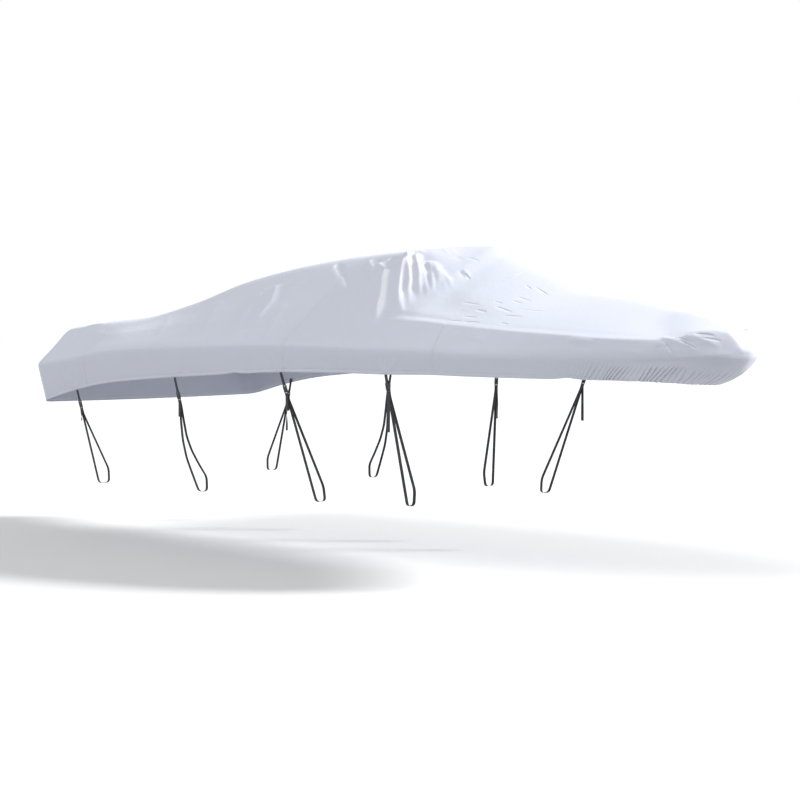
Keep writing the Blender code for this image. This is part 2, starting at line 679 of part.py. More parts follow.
def socket_mesh():
    """Upper half of the buckle: a bar for the tab and a mouth with side windows."""
    half, thick, bar = BUCKLE_WIDTH / 2.0, SOCKET_THICKNESS / 2.0, BAR / 2.0
    body = block("socket_body", (-half, -thick, -SOCKET_LENGTH), (half, thick, bar))
    slot_end = -(AT_BAR + WEBBING / 2.0 + SLOT_EASE)
    cutters = [
        block("tab_slot", (-SLOT_HALF, -OVERRUN, slot_end), (SLOT_HALF, OVERRUN, -bar)),
        block("thin_front", (-SLOT_HALF, bar, slot_end), (SLOT_HALF, OVERRUN, OVERRUN)),
        block("thin_back", (-SLOT_HALF, -OVERRUN, slot_end), (SLOT_HALF, -bar, OVERRUN)),
    ]
    for side, name in ((-1.0, "window_left"), (1.0, "window_right")):
        near, far = sorted((side * WINDOW_IN, side * (half + OVERRUN)))
        bottom = -SOCKET_LENGTH - OVERRUN
        cutters.append(block(name, (near, -WINDOW_HALF, bottom), (far, WINDOW_HALF, WINDOW_TOP)))
    return carve(body, cutters, [], SOCKET_EDGE)


def plug_mesh():
    """Lower half of the buckle: two spring arms in the windows, and two bars."""
    thick, bar = PLUG_THICKNESS / 2.0, BAR / 2.0
    top = -(SOCKET_LENGTH + GAP)
    bottom = -(LOWER_BAR + bar)
    body = block("plug_body", (-PLUG_HALF, -thick, bottom), (PLUG_HALF, thick, top))
    arms = []
    for side, name in ((-1.0, "arm_left"), (1.0, "arm_right")):
        near, far = sorted((side * ARM_IN, side * ARM_OUT))
        arms.append(block(name, (near, -ARM_HALF, top - ARM_ROOT), (far, ARM_HALF, ARM_TOP)))
    cutters = []
    for name, low, high in (
        ("upper_slot", -(MIDDLE_BAR - bar), PLUG_SLOT_TOP),
        ("lower_slot", -(LOWER_BAR - bar), -(MIDDLE_BAR + bar)),
    ):
        cutters.append(block(name, (-SLOT_HALF, -OVERRUN, low), (SLOT_HALF, OVERRUN, high)))
    for name, sign in (("thin_front", 1.0), ("thin_back", -1.0)):
        near, far = sorted((sign * bar, sign * OVERRUN))
        low = bottom - OVERRUN
        cutters.append(block(name, (-SLOT_HALF, near, low), (SLOT_HALF, far, PLUG_SLOT_TOP)))
    return carve(body, cutters, arms, PLUG_EDGE)


def build_straps():
    """Each strap, built to starboard and repeated to port."""
    webbing = material("webbing", WEBBING_BLACK, 0.75)
    plastic = material("buckle_plastic", BUCKLE_BLACK, 0.40)
    halves = (("buckle_socket", socket_mesh()), ("buckle_plug", plug_mesh()))
    for row in STRAPS:
        strap = dict(zip(STRAP_COLUMNS, row))
        origin, across, down, out, upward = strap_frame(strap)
        path = tab_path(strap, upward, down, out)
        still = [0.0] * len(path)
        tab = ribbon_mesh("tab", path, origin, across, down, out, still, still)
        path, drift, turn = with_tail(strap, loop_path(strap, origin, down, out), across, down, out)
        tie = ribbon_mesh("tie", path, origin, across, down, out, drift, turn)
        for kind, mesh in (("hem_tab", tab), ("tie_strap", tie)):
            port_name = f"{kind}_port_{strap['name']}"
            make_object(port_name, mirrored_copy(mesh, port_name), webbing)
            make_object(f"{kind}_starboard_{strap['name']}", mesh, webbing)
        for side, flip in (("starboard", 1.0), ("port", -1.0)):
            mirror = np.array((1.0, flip, 1.0))
            up, outward = -down * mirror, out * mirror
            place = (origin + strap["tab"] * down) * mirror
            columns = np.eye(4)
            columns[:3, :] = np.stack([np.cross(outward, up), outward, up, place], 1)
            for kind, mesh in halves:
                half = make_object(f"{kind}_{side}_{strap['name']}", mesh, plastic)
                half.matrix_world = Matrix(columns.tolist())


def main():
    clear_scene()
    build_cover()
    build_straps()


main()
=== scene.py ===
# %% [markdown]
# # A boat cover, drawn tight, with its tie-down straps
# The cover is one skin of coated cloth, cut in four panels and sewn together at
# three cross seams.  Eight straps hang from its hem.  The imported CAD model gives
# every place and size.  This script dresses it: the soft solids are replaced by
# fine cloth and webbing, and every piece gets a finish made of nodes.

# %% Load the frame
import math

import bmesh
import bpy
import numpy as np
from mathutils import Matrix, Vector


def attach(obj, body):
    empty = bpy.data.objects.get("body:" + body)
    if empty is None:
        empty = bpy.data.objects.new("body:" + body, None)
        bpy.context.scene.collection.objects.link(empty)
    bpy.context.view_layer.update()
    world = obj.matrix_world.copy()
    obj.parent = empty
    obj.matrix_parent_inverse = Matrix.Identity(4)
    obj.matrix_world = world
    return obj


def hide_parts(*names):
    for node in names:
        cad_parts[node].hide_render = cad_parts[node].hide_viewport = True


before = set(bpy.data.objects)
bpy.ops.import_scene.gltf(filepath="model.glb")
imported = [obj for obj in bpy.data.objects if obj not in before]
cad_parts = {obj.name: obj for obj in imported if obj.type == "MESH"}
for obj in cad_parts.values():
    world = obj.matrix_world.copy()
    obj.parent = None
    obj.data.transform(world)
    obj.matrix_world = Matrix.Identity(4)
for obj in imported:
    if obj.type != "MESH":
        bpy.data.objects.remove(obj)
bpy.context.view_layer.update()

# %% [markdown]
# ## Camera
# A long lens, a little above the hem and 43 degrees round from square to the
# starboard side, towards the bow.  The camera comes first, because it decides
# how fine each surface has to be: one pixel is about 8 mm on the cloth.

# %% Camera
CAMERA_AT = (9.663, -11.077, -0.455)
CAMERA_TURN = math.radians(43.06)
CAMERA_DOWN = math.radians(2.385)

camera_data = bpy.data.cameras.new("camera")
camera_data.lens = 94.5
camera_data.sensor_width = 36.0
camera_data.clip_end = 300.0
camera = bpy.data.objects.new("camera", camera_data)
bpy.context.scene.collection.objects.link(camera)
camera.location = CAMERA_AT
camera.rotation_euler = (math.pi / 2.0 - CAMERA_DOWN, 0.0, CAMERA_TURN)
bpy.context.scene.camera = camera
print("camera at", CAMERA_AT)

# %% [markdown]
# ## The form of the cover
# A tight cover is a skin over a few lines: the spine, a shoulder beside it, an
# upper and a lower bend, and the hem.  Each is read from a table of sections,
# and the skin is run over them with rounded bends.  These are the same sizes
# as in the CAD model, so the fine cloth lies on the solids.

# %% Sizes of the form
NOSE_X, STERN_X = 2.314, -3.543
HALF_BREADTH = 1.170
ENTRY_LENGTH, ENTRY_POWER, ENTRY_FULLNESS = 3.30, 2.3, 0.62
RUN_LENGTH, RUN_POWER, STERN_TAPER = 2.50, 1.6, 0.022
STERN_BULGE, CORNER_RADIUS = 0.030, 0.100
CORNER_X = STERN_X + STERN_BULGE + CORNER_RADIUS
SEAM_X = (-2.888, -0.703, 0.562)
SECTION_COLUMNS = (
    "x", "spine_z", "shoulder_k", "shoulder_z", "upper_k", "upper_z", "lower_z", "hem_z", "sag",
)
SECTIONS = np.array((
    (-3.543, -0.520, 0.82, -0.575, 0.91, -0.708, -0.856, -1.151, 0.000),
    (-3.078, -0.488, 0.77, -0.524, 0.88, -0.667, -0.801, -1.046, 0.000),
    (-2.678, -0.462, 0.66, -0.490, 0.83, -0.615, -0.739, -0.986, 0.004),
    (-2.228, -0.342, 0.53, -0.374, 0.81, -0.575, -0.709, -0.946, 0.006),
    (-1.778, -0.184, 0.42, -0.214, 0.80, -0.528, -0.693, -0.916, 0.004),
    (-1.178, -0.074, 0.35, -0.098, 0.80, -0.498, -0.676, -0.883, 0.002),
    (-0.678, -0.018, 0.30, -0.042, 0.80, -0.487, -0.669, -0.861, 0.000),
    (-0.108, 0.008, 0.35, -0.018, 0.82, -0.490, -0.684, -0.858, 0.008),
    (0.222, 0.063, 0.37, -0.146, 0.86, -0.501, -0.689, -0.859, 0.010),
    (0.352, -0.004, 0.45, -0.262, 0.87, -0.506, -0.693, -0.857, 0.010),
    (0.522, -0.086, 0.54, -0.334, 0.88, -0.521, -0.701, -0.856, 0.008),
    (0.782, -0.184, 0.62, -0.416, 0.89, -0.546, -0.719, -0.862, 0.004),
    (1.112, -0.303, 0.62, -0.468, 0.92, -0.573, -0.734, -0.868, 0.000),
    (1.392, -0.339, 0.60, -0.484, 0.94, -0.591, -0.743, -0.872, 0.000),
    (1.702, -0.386, 0.58, -0.507, 0.95, -0.611, -0.747, -0.877, 0.000),
    (1.962, -0.479, 0.55, -0.527, 0.93, -0.615, -0.745, -0.885, 0.000),
    (2.192, -0.516, 0.55, -0.527, 0.91, -0.576, -0.731, -0.901, 0.000),
    (2.314, -0.521, 0.55, -0.531, 0.90, -0.585, -0.713, -0.912, 0.000),
))
LINES = ("spine", "shoulder", "upper", "lower", "hem")
NOSE_SETBACK = (0.420, 0.240, 0.060, 0.000, 0.280)
STERN_SETBACK = (0.550, 0.120, 0.100, 0.000, 0.075)
FAN_LENGTH = 1.000
BEND_SHARE = 0.45
HEM_TUCK, HEM_TUCK_FADE = 0.025, 0.300
HEM_LIFT_X, HEM_LIFT_HEIGHT, HEM_LIFT_WIDTH = (-1.208, 1.452), 0.010, 0.070
print(len(SECTIONS), "sections and", len(LINES), "lines")


# %% Reading the sections
def ease(t):
    """Three t squared less two t cubed, held at 0 and 1 outside its range."""
    t = np.clip(t, 0.0, 1.0)
    return t * t * (3.0 - 2.0 * t)


def fade(at, start, over):
    """Eases from 0 at start to 1 after the length over, which is negative for a fall."""
    return ease((at - start) / over)


def half_breadth(x):
    """Plan of the lower bend: the entry rises as 1 - (1 - s)^p to a power, the run narrows a little."""
    entry = np.clip((NOSE_X - x) / ENTRY_LENGTH, 0.0, 1.0)
    run = np.clip((NOSE_X - ENTRY_LENGTH - x) / RUN_LENGTH, 0.0, 1.0)
    narrowing = (1.0 - (1.0 - entry) ** ENTRY_POWER) ** ENTRY_FULLNESS
    return HALF_BREADTH * narrowing * (1.0 - STERN_TAPER * run ** RUN_POWER)


def section_value(column, x):
    """A cubic through the table's rows whose slope is the harmonic mean of its neighbours'."""
    at, value = SECTIONS[:, 0], SECTIONS[:, SECTION_COLUMNS.index(column)]
    step = np.diff(at)
    slope = np.diff(value) / step
    rising = slope[:-1] * slope[1:] > 0.0
    before, after = np.where(rising, slope[:-1], 1.0), np.where(rising, slope[1:], 1.0)
    w_before, w_after = 2.0 * step[1:] + step[:-1], step[1:] + 2.0 * step[:-1]
    tangent = np.zeros_like(value)
    tangent[0], tangent[-1] = slope[0], slope[-1]
    tangent[1:-1] = np.where(rising, (w_before + w_after) / (w_before / before + w_after / after), 0.0)
    x = np.clip(x, at[0], at[-1])
    i = np.clip(np.searchsorted(at, x) - 1, 0, len(step) - 1)
    t = (x - at[i]) / step[i]
    ends = value[i] * (1.0 + 2.0 * t) * (1.0 - t) ** 2 + value[i + 1] * t * t * (3.0 - 2.0 * t)
    return ends + step[i] * t * (1.0 - t) * (tangent[i] * (1.0 - t) - tangent[i + 1] * t)


def carrying_lines(x, out):
    """The five lines at each station, (stations, 5, 3), on the port side."""
    nose_share = ease((x - NOSE_X + FAN_LENGTH) / FAN_LENGTH)
    stern_share = 1.0 - ease((x - CORNER_X) / FAN_LENGTH)
    y = {
        "spine": 0.0 * out,
        "shoulder": out * section_value("shoulder_k", x),
        "upper": out * section_value("upper_k", x),
        "lower": out,
        "hem": out - HEM_TUCK * ease(out / HEM_TUCK_FADE),
    }
    lines = []
    for name, nose, stern in zip(LINES, NOSE_SETBACK, STERN_SETBACK):
        line_x = x - nose * nose_share + stern * stern_share
        read_x = line_x if name == "spine" else x
        lines.append(np.stack([line_x, y[name], section_value(name + "_z", read_x)], -1))
    return np.stack(lines, 1)


print("half breadth amidships", round(float(half_breadth(np.array(-1.0))), 3), "m")

# %% [markdown]
# ## Running the skin over the lines
# Between two lines tight cloth is almost straight, and at a line it bends.  A
# hyperbola does both in one formula, with no joint between straight and bend.
# The upper bend is soft beside the peak and sharp along the bow, where the
# cloth is pulled over an edge.

# %% Spokes
CREASE_FROM, CREASE_OVER = -0.05, 0.35
SOFT_BENDS = (0.140, 0.060, 0.090, 0.018)
SHARP_BENDS = (0.140, 0.130, 0.011, 0.018)


def spoke_curves(lines, ring, sag, x):
    """Start, plus the first run, plus at each line the turn times (q + sqrt(q^2 + r^2)) / 2."""
    chain = np.concatenate([lines[:, 1:2] * (1.0, -1.0, 1.0), lines], 1)
    run = np.diff(chain, axis=1)
    length = np.linalg.norm(run, axis=2)
    direction = run / length[..., None]
    mark = np.cumsum(length, 1) - length[:, :1]
    k = np.clip(np.floor(ring).astype(int), 0, 3)
    low, high = np.take_along_axis(mark, k, 1), np.take_along_axis(mark, k + 1, 1)
    girth = low + (ring - k) * (high - low)
    point = lines[:, None, 0] + direction[:, None, 0] * girth[..., None]
    sharp = fade(x, CREASE_FROM, CREASE_OVER)
    for j, (soft_r, sharp_r) in enumerate(zip(SOFT_BENDS, SHARP_BENDS)):
        radius = soft_r + (sharp_r - soft_r) * sharp
        r = np.minimum(radius, BEND_SHARE * np.minimum(length[:, j], length[:, j + 1]))[:, None]
        q = girth - mark[:, j][:, None]
        ramp = 0.5 * (q + np.sqrt(q * q + r * r))
        point = point + (direction[:, None, j + 1] - direction[:, None, j]) * ramp[..., None]
    hollow = np.where((ring > 1.0) & (ring < 2.0), np.sin(math.pi * (ring - 1.0)) ** 2, 0.0)
    point[..., 2] -= sag[:, None] * hollow
    return point, girth


def normals(grid):
    """Cross product of the two ways along the grid, which is closed on itself at both ends."""
    padded = np.concatenate([grid[1:2, ::-1], grid, grid[-2:-1, ::-1]], 0)
    normal = np.cross(np.gradient(grid, axis=1), padded[2:] - padded[:-2])
    middle = grid.shape[1] // 2
    normal[[0, -1], middle] = normal[[0, -1], middle + 1]
    return normal / np.maximum(np.linalg.norm(normal, axis=2, keepdims=True), 1e-12)


print("bends from", SOFT_BENDS, "to", SHARP_BENDS)

# %% [markdown]
# ## How fine the cloth is
# Cells of about 11 mm carry every fold that shows.  The stations crowd together
# beside the seams, and the rings at the hem, where the sewn edges are narrow.

# %% Stations and rings
PANELS = ("stern", "aft", "peak", "bow")
SIDE_STEP = (0.0150, 0.0145, 0.0075, 0.0110)
STERN_STATIONS, CORNER_STATIONS = 62, 12
NOSE_LENGTH, NOSE_STATIONS, NOSE_CROWDING = 0.450, 52, 1.6
SEAM_BAND = 0.014
SEAM_STATIONS = (-0.024, -0.019, -0.0155, -0.0140, -0.0125, -0.0070, -0.0020, 0.0020, 0.0060, 0.0120)
RING_STEPS = (30, 44, 20)
HEM_BAND = 0.026
HEM_STEPS = 9
SKIRT_STEPS = 20


def lower_stations():
    """Stations from the middle of the stern round the starboard corner to the nose."""
    flat = half_breadth(np.array([CORNER_X]))[0] - CORNER_RADIUS
    out_stern = np.linspace(0.0, flat, STERN_STATIONS)
    x_stern = STERN_X + STERN_BULGE * (out_stern / flat) ** 2
    angle = np.linspace(0.0, math.pi / 2.0, CORNER_STATIONS + 1)[1:]
    x_corner = CORNER_X - CORNER_RADIUS * np.cos(angle)
    out_corner = flat + CORNER_RADIUS * np.sin(angle)
    stops = (CORNER_X,) + SEAM_X + (NOSE_X - NOSE_LENGTH,)
    side = []
    for start, end, step in zip(stops[:-1], stops[1:], SIDE_STEP):
        even = np.linspace(start, end, round((end - start) / step) + 1)[1:]
        near = np.min(np.abs(even[:, None] - np.array(SEAM_X)), 1)
        side.append(even[(near > 0.028) | (near < 1e-9)])
    side += [seam + np.array(SEAM_STATIONS) for seam in SEAM_X]
    side = np.unique(np.round(np.concatenate(side), 6))
    closing = np.linspace(1.0, 0.0, NOSE_STATIONS + 1)[1:]
    x_side = np.concatenate([side, NOSE_X - NOSE_LENGTH * closing ** NOSE_CROWDING])
    x = np.concatenate([x_stern, x_corner, x_side])
    out = np.concatenate([out_stern, out_corner, half_breadth(x_side)])
    out[-1] = 0.0
    return x, out


def ring_marks(lines):
    """Even rings down to the hem band, and closer ones in it, as shares of the runs."""
    upper = [np.array([0.0])]
    upper += [k + np.linspace(0.0, 1.0, steps + 1)[1:] for k, steps in enumerate(RING_STEPS)]
    upper = np.concatenate(upper)
    band = HEM_BAND / np.linalg.norm(lines[:, 4] - lines[:, 3], axis=1)[:, None]
    skirt = 3.0 + (1.0 - band) * np.linspace(0.0, 1.0, SKIRT_STEPS + 1)[1:]
    hem = 4.0 - band * np.linspace(1.0, 0.0, HEM_STEPS + 1)[1:]
    return np.concatenate([np.repeat(upper[None], len(lines), 0), skirt, hem], 1)


station_x, station_out = lower_stations()
station_lines = carrying_lines(station_x, station_out)
rings = ring_marks(station_lines)
half_skin, girth = spoke_curves(station_lines, rings, section_value("sag", station_x), station_x)
print(half_skin.shape[0], "stations of", half_skin.shape[1], "rings a side")

# %% Coordinates on the skin
walk = np.linalg.norm(np.diff(np.stack([station_x, station_out], 1), axis=0), axis=1)
walk = np.concatenate([[0.0], np.cumsum(walk)])          # along the lower bend from the stern
above_hem = girth[:, -1:] - girth                        # up the cloth from the hem
x_field = np.repeat(station_x[:, None], girth.shape[1], 1)
walk_field = np.repeat(walk[:, None], girth.shape[1], 1)
lift = sum(np.exp(-(((station_x - at) / HEM_LIFT_WIDTH) ** 2)) for at in HEM_LIFT_X) * HEM_LIFT_HEIGHT
half_skin[..., 2] += lift[:, None] * ease(rings - 3.0)
print("lower bend is", round(float(walk[-1]), 2), "m long a side")

# %% [markdown]
# ## Folds
# Tight cloth has three kinds.  Tension folds run from a point that pushes up,
# as sharp ridges that fade.  Short creases lie where the cloth has been folded
# or rubbed.  Gathers are rows of small ripples, where a straight hem is pulled
# round a curve.  Each fold here is a row of a table, with a ridge across it.

# %% Soft noise
def soft_noise(seed, *coordinates):
    """Random values at whole numbers, blended by an eased share between them, from -1 to 1."""
    table = np.random.default_rng(seed).uniform(-1.0, 1.0, 4096)
    primes = (1, 57, 113)
    whole = [np.floor(c).astype(int) for c in coordinates]
    share = [ease(c - w) for c, w in zip(coordinates, whole)]
    total = 0.0
    for corner in range(2 ** len(coordinates)):
        index, weight = 0, 1.0
        for axis, (w, s) in enumerate(zip(whole, share)):
            bit = corner >> axis & 1
            index = index + (w + bit) * primes[axis]
            weight = weight * (s if bit else 1.0 - s)
        total = total + weight * table[index * 1619 % 4096]
    return total


def ridge(distance, width, lean):
    """A rounded crest, e to minus the root of (d/w)^2 and a little, with w wider behind it by lean."""
    width = np.where(distance > 0.0, width, width * lean)
    return np.exp(0.39 - np.sqrt((distance / width) ** 2 + 0.152))


FOLD_COLUMNS = ("u_0", "v_0", "u_1", "v_1", "bow", "width", "height")
SWELL_IN, SWELL_OUT = 0.12, 0.32


def folds(u, v, table, seed, lean=1.0):
    """Adds up a table of folds, each a ridge about a bowed line that swells and fades out."""
    total = np.zeros_like(u)
    for number, row in enumerate(table):
        fold = dict(zip(FOLD_COLUMNS, row))
        way = np.array((fold["u_1"] - fold["u_0"], fold["v_1"] - fold["v_0"]))
        length = np.linalg.norm(way)
        way = way / length
        du, dv = u - fold["u_0"], v - fold["v_0"]
        along = np.clip((du * way[0] + dv * way[1]) / length, 0.0, 1.0)
        stray = 0.25 * fold["width"] * soft_noise(seed + number, along * length / 0.09)
        across = du * way[1] - dv * way[0] - 4.0 * fold["bow"] * along * (1.0 - along) + stray
        swell = ease(along / SWELL_IN) * ease((1.0 - along) / SWELL_OUT)
        total += fold["height"] * swell * ridge(across, fold["width"], lean)
    return total


print("a ridge of width 1 has fallen at distance 1 to", round(float(ridge(1.0, 1.0, 1.0)), 2))

# %% [markdown]
# ### The folds of the starboard side
# The strongest folds fan down from the corner of the peak.  Long shallow ones
# cross the side behind it, and small creases lie on the bow.

# %% Fold tables: x and girth from the spine, both in metres
FAN_LEAN = 2.5
# How steep a fold's forward face must be for the fan's painted highlight, and where it fades out forward.
FAN_LIGHT_SLOPE, FAN_LIGHT_ENDS_X, FAN_LIGHT_FADE = 0.50, 0.12, 0.22
PEAK_FAN = (
    (-0.469, 0.496, -0.289, 0.624, 0.012, 0.0160, 0.0160),
    (-0.329, 0.563, -0.003, 1.165, 0.012, 0.0240, 0.0340),
    (-0.192, 0.495, 0.118, 1.050, 0.000, 0.0240, 0.0340),
    (-0.263, 0.376, 0.160, 0.967, 0.022, 0.0210, 0.0310),
    (-0.144, 0.432, 0.180, 0.846, 0.014, 0.0150, 0.0260),
    (-0.026, 0.507, 0.222, 0.803, -0.003, 0.0117, 0.0145),
    (-0.001, 0.484, 0.230, 0.770, 0.016, 0.0117, 0.0170),
    (0.030, 0.479, 0.247, 0.710, 0.014, 0.0108, 0.0105),
    (0.047, 0.469, 0.282, 0.680, 0.001, 0.0099, 0.0090),
    (0.082, 0.483, 0.320, 0.627, -0.015, 0.0090, 0.0075),
    (0.138, 0.523, 0.293, 0.581, -0.013, 0.0081, 0.0067),
    (0.014, 0.533, 0.124, 0.598, 0.008, 0.0081, -0.0075),
    (0.020, 0.851, 0.162, 1.029, 0.000, 0.0099, 0.0090),
    (0.235, 0.453, 0.325, 0.492, -0.001, 0.0072, -0.0067),
    (0.254, 0.433, 0.327, 0.465, 0.008, 0.0072, 0.0060),
    (-0.396, 0.433, -0.255, 0.505, -0.004, 0.0081, -0.0075),
    (-0.363, 0.476, -0.223, 0.536, -0.001, 0.0081, 0.0060),
    (-0.611, 0.420, -0.426, 0.605, 0.006, 0.0126, 0.0075),
    (-0.422, 0.617, -0.149, 1.048, 0.008, 0.0198, 0.0060),
    (-0.445, 0.702, -0.314, 0.945, 0.006, 0.0162, 0.0046),
    (-0.957, 0.416, -0.528, 0.795, -0.001, 0.0144, 0.0067),
    (-0.929, 0.419, -0.492, 0.798, -0.005, 0.0108, -0.0145),
    (-0.303, 0.323, -0.134, 0.464, -0.008, 0.0072, 0.0046),
    (-0.310, 0.266, -0.084, 0.456, -0.010, 0.0072, 0.0046),
    (-0.238, 0.293, -0.033, 0.439, -0.012, 0.0072, 0.0046),
    (-0.056, 0.245, 0.083, 0.337, -0.001, 0.0072, 0.0039),
    (-0.014, 0.211, 0.131, 0.313, -0.005, 0.0072, 0.0039),
    (0.111, 0.330, 0.201, 0.334, -0.001, 0.0072, -0.0033),
)
LONG_FOLDS = (
    (-1.367, 0.627, -1.210, 1.209, 0.075, 0.022, 0.0120),
    (-1.440, 0.711, -1.359, 1.105, 0.007, 0.020, 0.0075),
    (-1.427, 0.652, -1.476, 0.766, 0.012, 0.022, 0.0030),
    (-1.274, 0.678, -1.167, 0.885, 0.009, 0.018, -0.0035),
    (-1.204, 1.047, -1.212, 1.243, 0.011, 0.018, -0.0040),
    (-1.060, 0.900, -0.920, 1.420, 0.010, 0.026, 0.0025),
    (-0.690, 0.431, -0.210, 1.179, 0.012, 0.030, 0.0035),
    (-1.900, 0.700, -1.650, 1.180, 0.015, 0.040, 0.0030),
    (-2.350, 0.760, -2.150, 1.120, 0.012, 0.040, 0.0030),
    (-3.298, 1.050, -3.033, 0.915, 0.010, 0.018, 0.0100),
    (-3.180, 1.120, -2.930, 1.000, 0.008, 0.026, 0.0045),
    (-2.700, 0.350, -2.200, 0.300, 0.012, 0.040, 0.0040),
    (0.000, 1.130, 0.700, 1.100, 0.010, 0.030, 0.0035),
)
BOW_CREASES = (
    (0.728, 1.046, 0.911, 0.996, 0.003, 0.012, 0.0050),
    (1.433, 0.798, 1.617, 0.732, 0.006, 0.012, 0.0075),
    (1.487, 0.807, 1.586, 0.793, 0.003, 0.012, -0.0040),
    (1.700, 0.730, 1.900, 0.690, 0.003, 0.016, 0.0030),
    (1.946, 0.606, 1.996, 0.685, 0.002, 0.011, -0.0055),
    (1.967, 0.572, 2.014, 0.672, 0.002, 0.011, 0.0090),
    (1.997, 0.574, 2.038, 0.658, 0.002, 0.011, -0.0050),
    (1.960, 0.530, 2.150, 0.600, 0.006, 0.014, 0.0090),
    (2.080, 0.500, 2.240, 0.530, 0.004, 0.014, 0.0060),
    (2.100, 0.470, 2.290, 0.410, 0.004, 0.012, 0.0050),
    (2.255, 0.400, 2.300, 0.545, 0.003, 0.040, 0.0060),
    (2.262, 0.395, 2.300, 0.540, 0.003, 0.012, 0.0050),
)
print(len(PEAK_FAN) + len(LONG_FOLDS) + len(BOW_CREASES), "folds on each side")


# %% Gathers and strain at the hem
STRAP_X = (-3.038, -1.848, -0.740, 0.187)
RIPPLE_FROM, RIPPLE_OVER, RIPPLE_PITCH, RIPPLE_DEPTH = 1.25, 0.60, 0.037, 0.0050
RIPPLE_TOP, RIPPLE_TOP_RISE, RIPPLE_TOP_FADE = 0.160, 0.080, 0.09
RIPPLE_SLANT, RIPPLE_SLANT_LOST = 0.60, 0.80
LIP_FROM_EDGE, LIP_WIDTH, LIP_DEPTH = 0.060, 0.036, 0.0050
LIP_LOST_AHEAD = 0.6
SKIRT_FULLNESS, SKIRT_ROUNDNESS = 0.036, 0.7
BROW_FULLNESS, BROW_RING, BROW_WIDTH = 0.018, 2.25, 0.45
STRAIN_FOLDS = ((-0.105, 0.14), (-0.040, 0.20), (0.035, 0.19), (0.110, 0.13))     # lean and rise
STRAIN_ROOT, STRAIN_BOW, STRAIN_WIDTH, STRAIN_DEPTH = 0.1, 0.004, 0.012, 0.0026
WRINKLE_DEPTH, WRINKLE_FROM_RING = 0.0011, 2.8


def gather_lines():
    """Counts the gathers along the hem on slanting lines, with whole numbers in the valleys."""
    slant = RIPPLE_SLANT - RIPPLE_SLANT_LOST * fade(x_field, 1.40, 0.60)
    count = (walk_field - slant * above_hem) / RIPPLE_PITCH
    count = count + 0.6 * soft_noise(31, walk_field / 0.11, above_hem / 0.2)
    top = RIPPLE_TOP + RIPPLE_TOP_RISE * fade(x_field, 1.70, 0.40)
    reach = fade(x_field, RIPPLE_FROM, RIPPLE_OVER) * fade(above_hem, top, -RIPPLE_TOP_FADE)
    return count, reach * (0.85 + 0.45 * soft_noise(32, walk_field / 0.07, above_hem / 0.3))


gather_count, gather_reach = gather_lines()


def bow_gathers():
    """The square of a cosine sinks the cloth in each valley."""
    return -RIPPLE_DEPTH * gather_reach * np.cos(math.pi * gather_count) ** 2


def edge_lip():
    """A shallow valley beside the upper edge, so that the cloth turns up as it reaches it."""
    edge = np.take_along_axis(girth, np.argmin(np.abs(rings - 2.0), 1)[:, None], 1)
    off = (edge - girth - LIP_FROM_EDGE) / LIP_WIDTH
    calm = 1.0 - LIP_LOST_AHEAD * fade(x_field, 0.4, 0.4)
    along = fade(x_field, -0.05, 0.30) * calm * fade(x_field, 1.95, -0.25)
    return -LIP_DEPTH * along * np.exp(-(off ** 2))


def nose_fullness():
    """The stem is blunt: a brow about the upper edge, and a full skirt below the lower bend."""
    skirt = SKIRT_FULLNESS * np.sin(math.pi * np.clip(rings - 3.0, 0.0, 1.0)) ** SKIRT_ROUNDNESS
    brow = BROW_FULLNESS * np.exp(-(((rings - BROW_RING) / BROW_WIDTH) ** 2))
    return fade(x_field, 2.05, 0.22) * (skirt + brow)


def strap_strain():
    """Four short folds spread up the cloth from each strap's tab."""
    shape = (STRAIN_BOW, STRAIN_WIDTH, STRAIN_DEPTH)
    table = [
        (at + STRAIN_ROOT * lean, 0.002, at + lean, rise, *shape)
        for at in STRAP_X for lean, rise in STRAIN_FOLDS
    ]
    return folds(x_field, above_hem, table, 71)


def skirt_wrinkles():
    """Noise drawn out up and down the skirt, and only there."""
    under = fade(rings, WRINKLE_FROM_RING, 1.0)
    return WRINKLE_DEPTH * under * soft_noise(33, walk_field / 0.045, above_hem / 0.35)


print("gathers", RIPPLE_PITCH * 1000, "mm apart from x =", RIPPLE_FROM)

# %% [markdown]
# ### Slack and crumple
# Between the places that hold it up, the cloth moves in and out in broad slow
# waves.  Over all of it lies a faint crumple from being stowed: flat facets
# with soft edges, which folded noise gives.

# %% Slack, crumple and the sewn edges
BROAD_DEPTH, BROAD_CELL = 0.0026, (0.42, 0.33, 0.33)
CRUMPLE_DEPTH, CRUMPLE_CELL = 0.0008, (0.105, 0.095, 0.095)
FINE_DEPTH, FINE_CELL = 0.0002, (0.047, 0.043, 0.043)
SLACK_LOST_AHEAD = 0.7
SEAM_STEP, SEAM_PUCKER, SEAM_PULL = 0.0006, 0.0008, 0.0010
TUBE_HEIGHT, TUBE_RISE, TUBE_ROUNDNESS = 0.020, 0.0022, 0.8
STITCH_LINE, STITCH_DIP, STITCH_DIP_WIDTH = 0.0225, 0.0010, 0.0025
HEM_PUCKER = 0.0006


def slack(skin):
    """Three sizes of noise at the skin's own place, so that it runs on round both ends."""
    def noise(seed, cell):
        return soft_noise(seed, *(skin[..., i] / cell[i] for i in range(3)))

    open_cloth = fade(rings, 0.8, 0.6) * fade(rings, 3.1, -0.5)
    calm = 1.0 - SLACK_LOST_AHEAD * fade(skin[..., 0], 0.15, 0.4)
    broad = BROAD_DEPTH * calm * open_cloth * noise(41, BROAD_CELL)
    crumple = CRUMPLE_DEPTH * calm * (0.5 - np.abs(noise(42, CRUMPLE_CELL)))
    return broad + crumple + FINE_DEPTH * calm * noise(43, FINE_CELL)


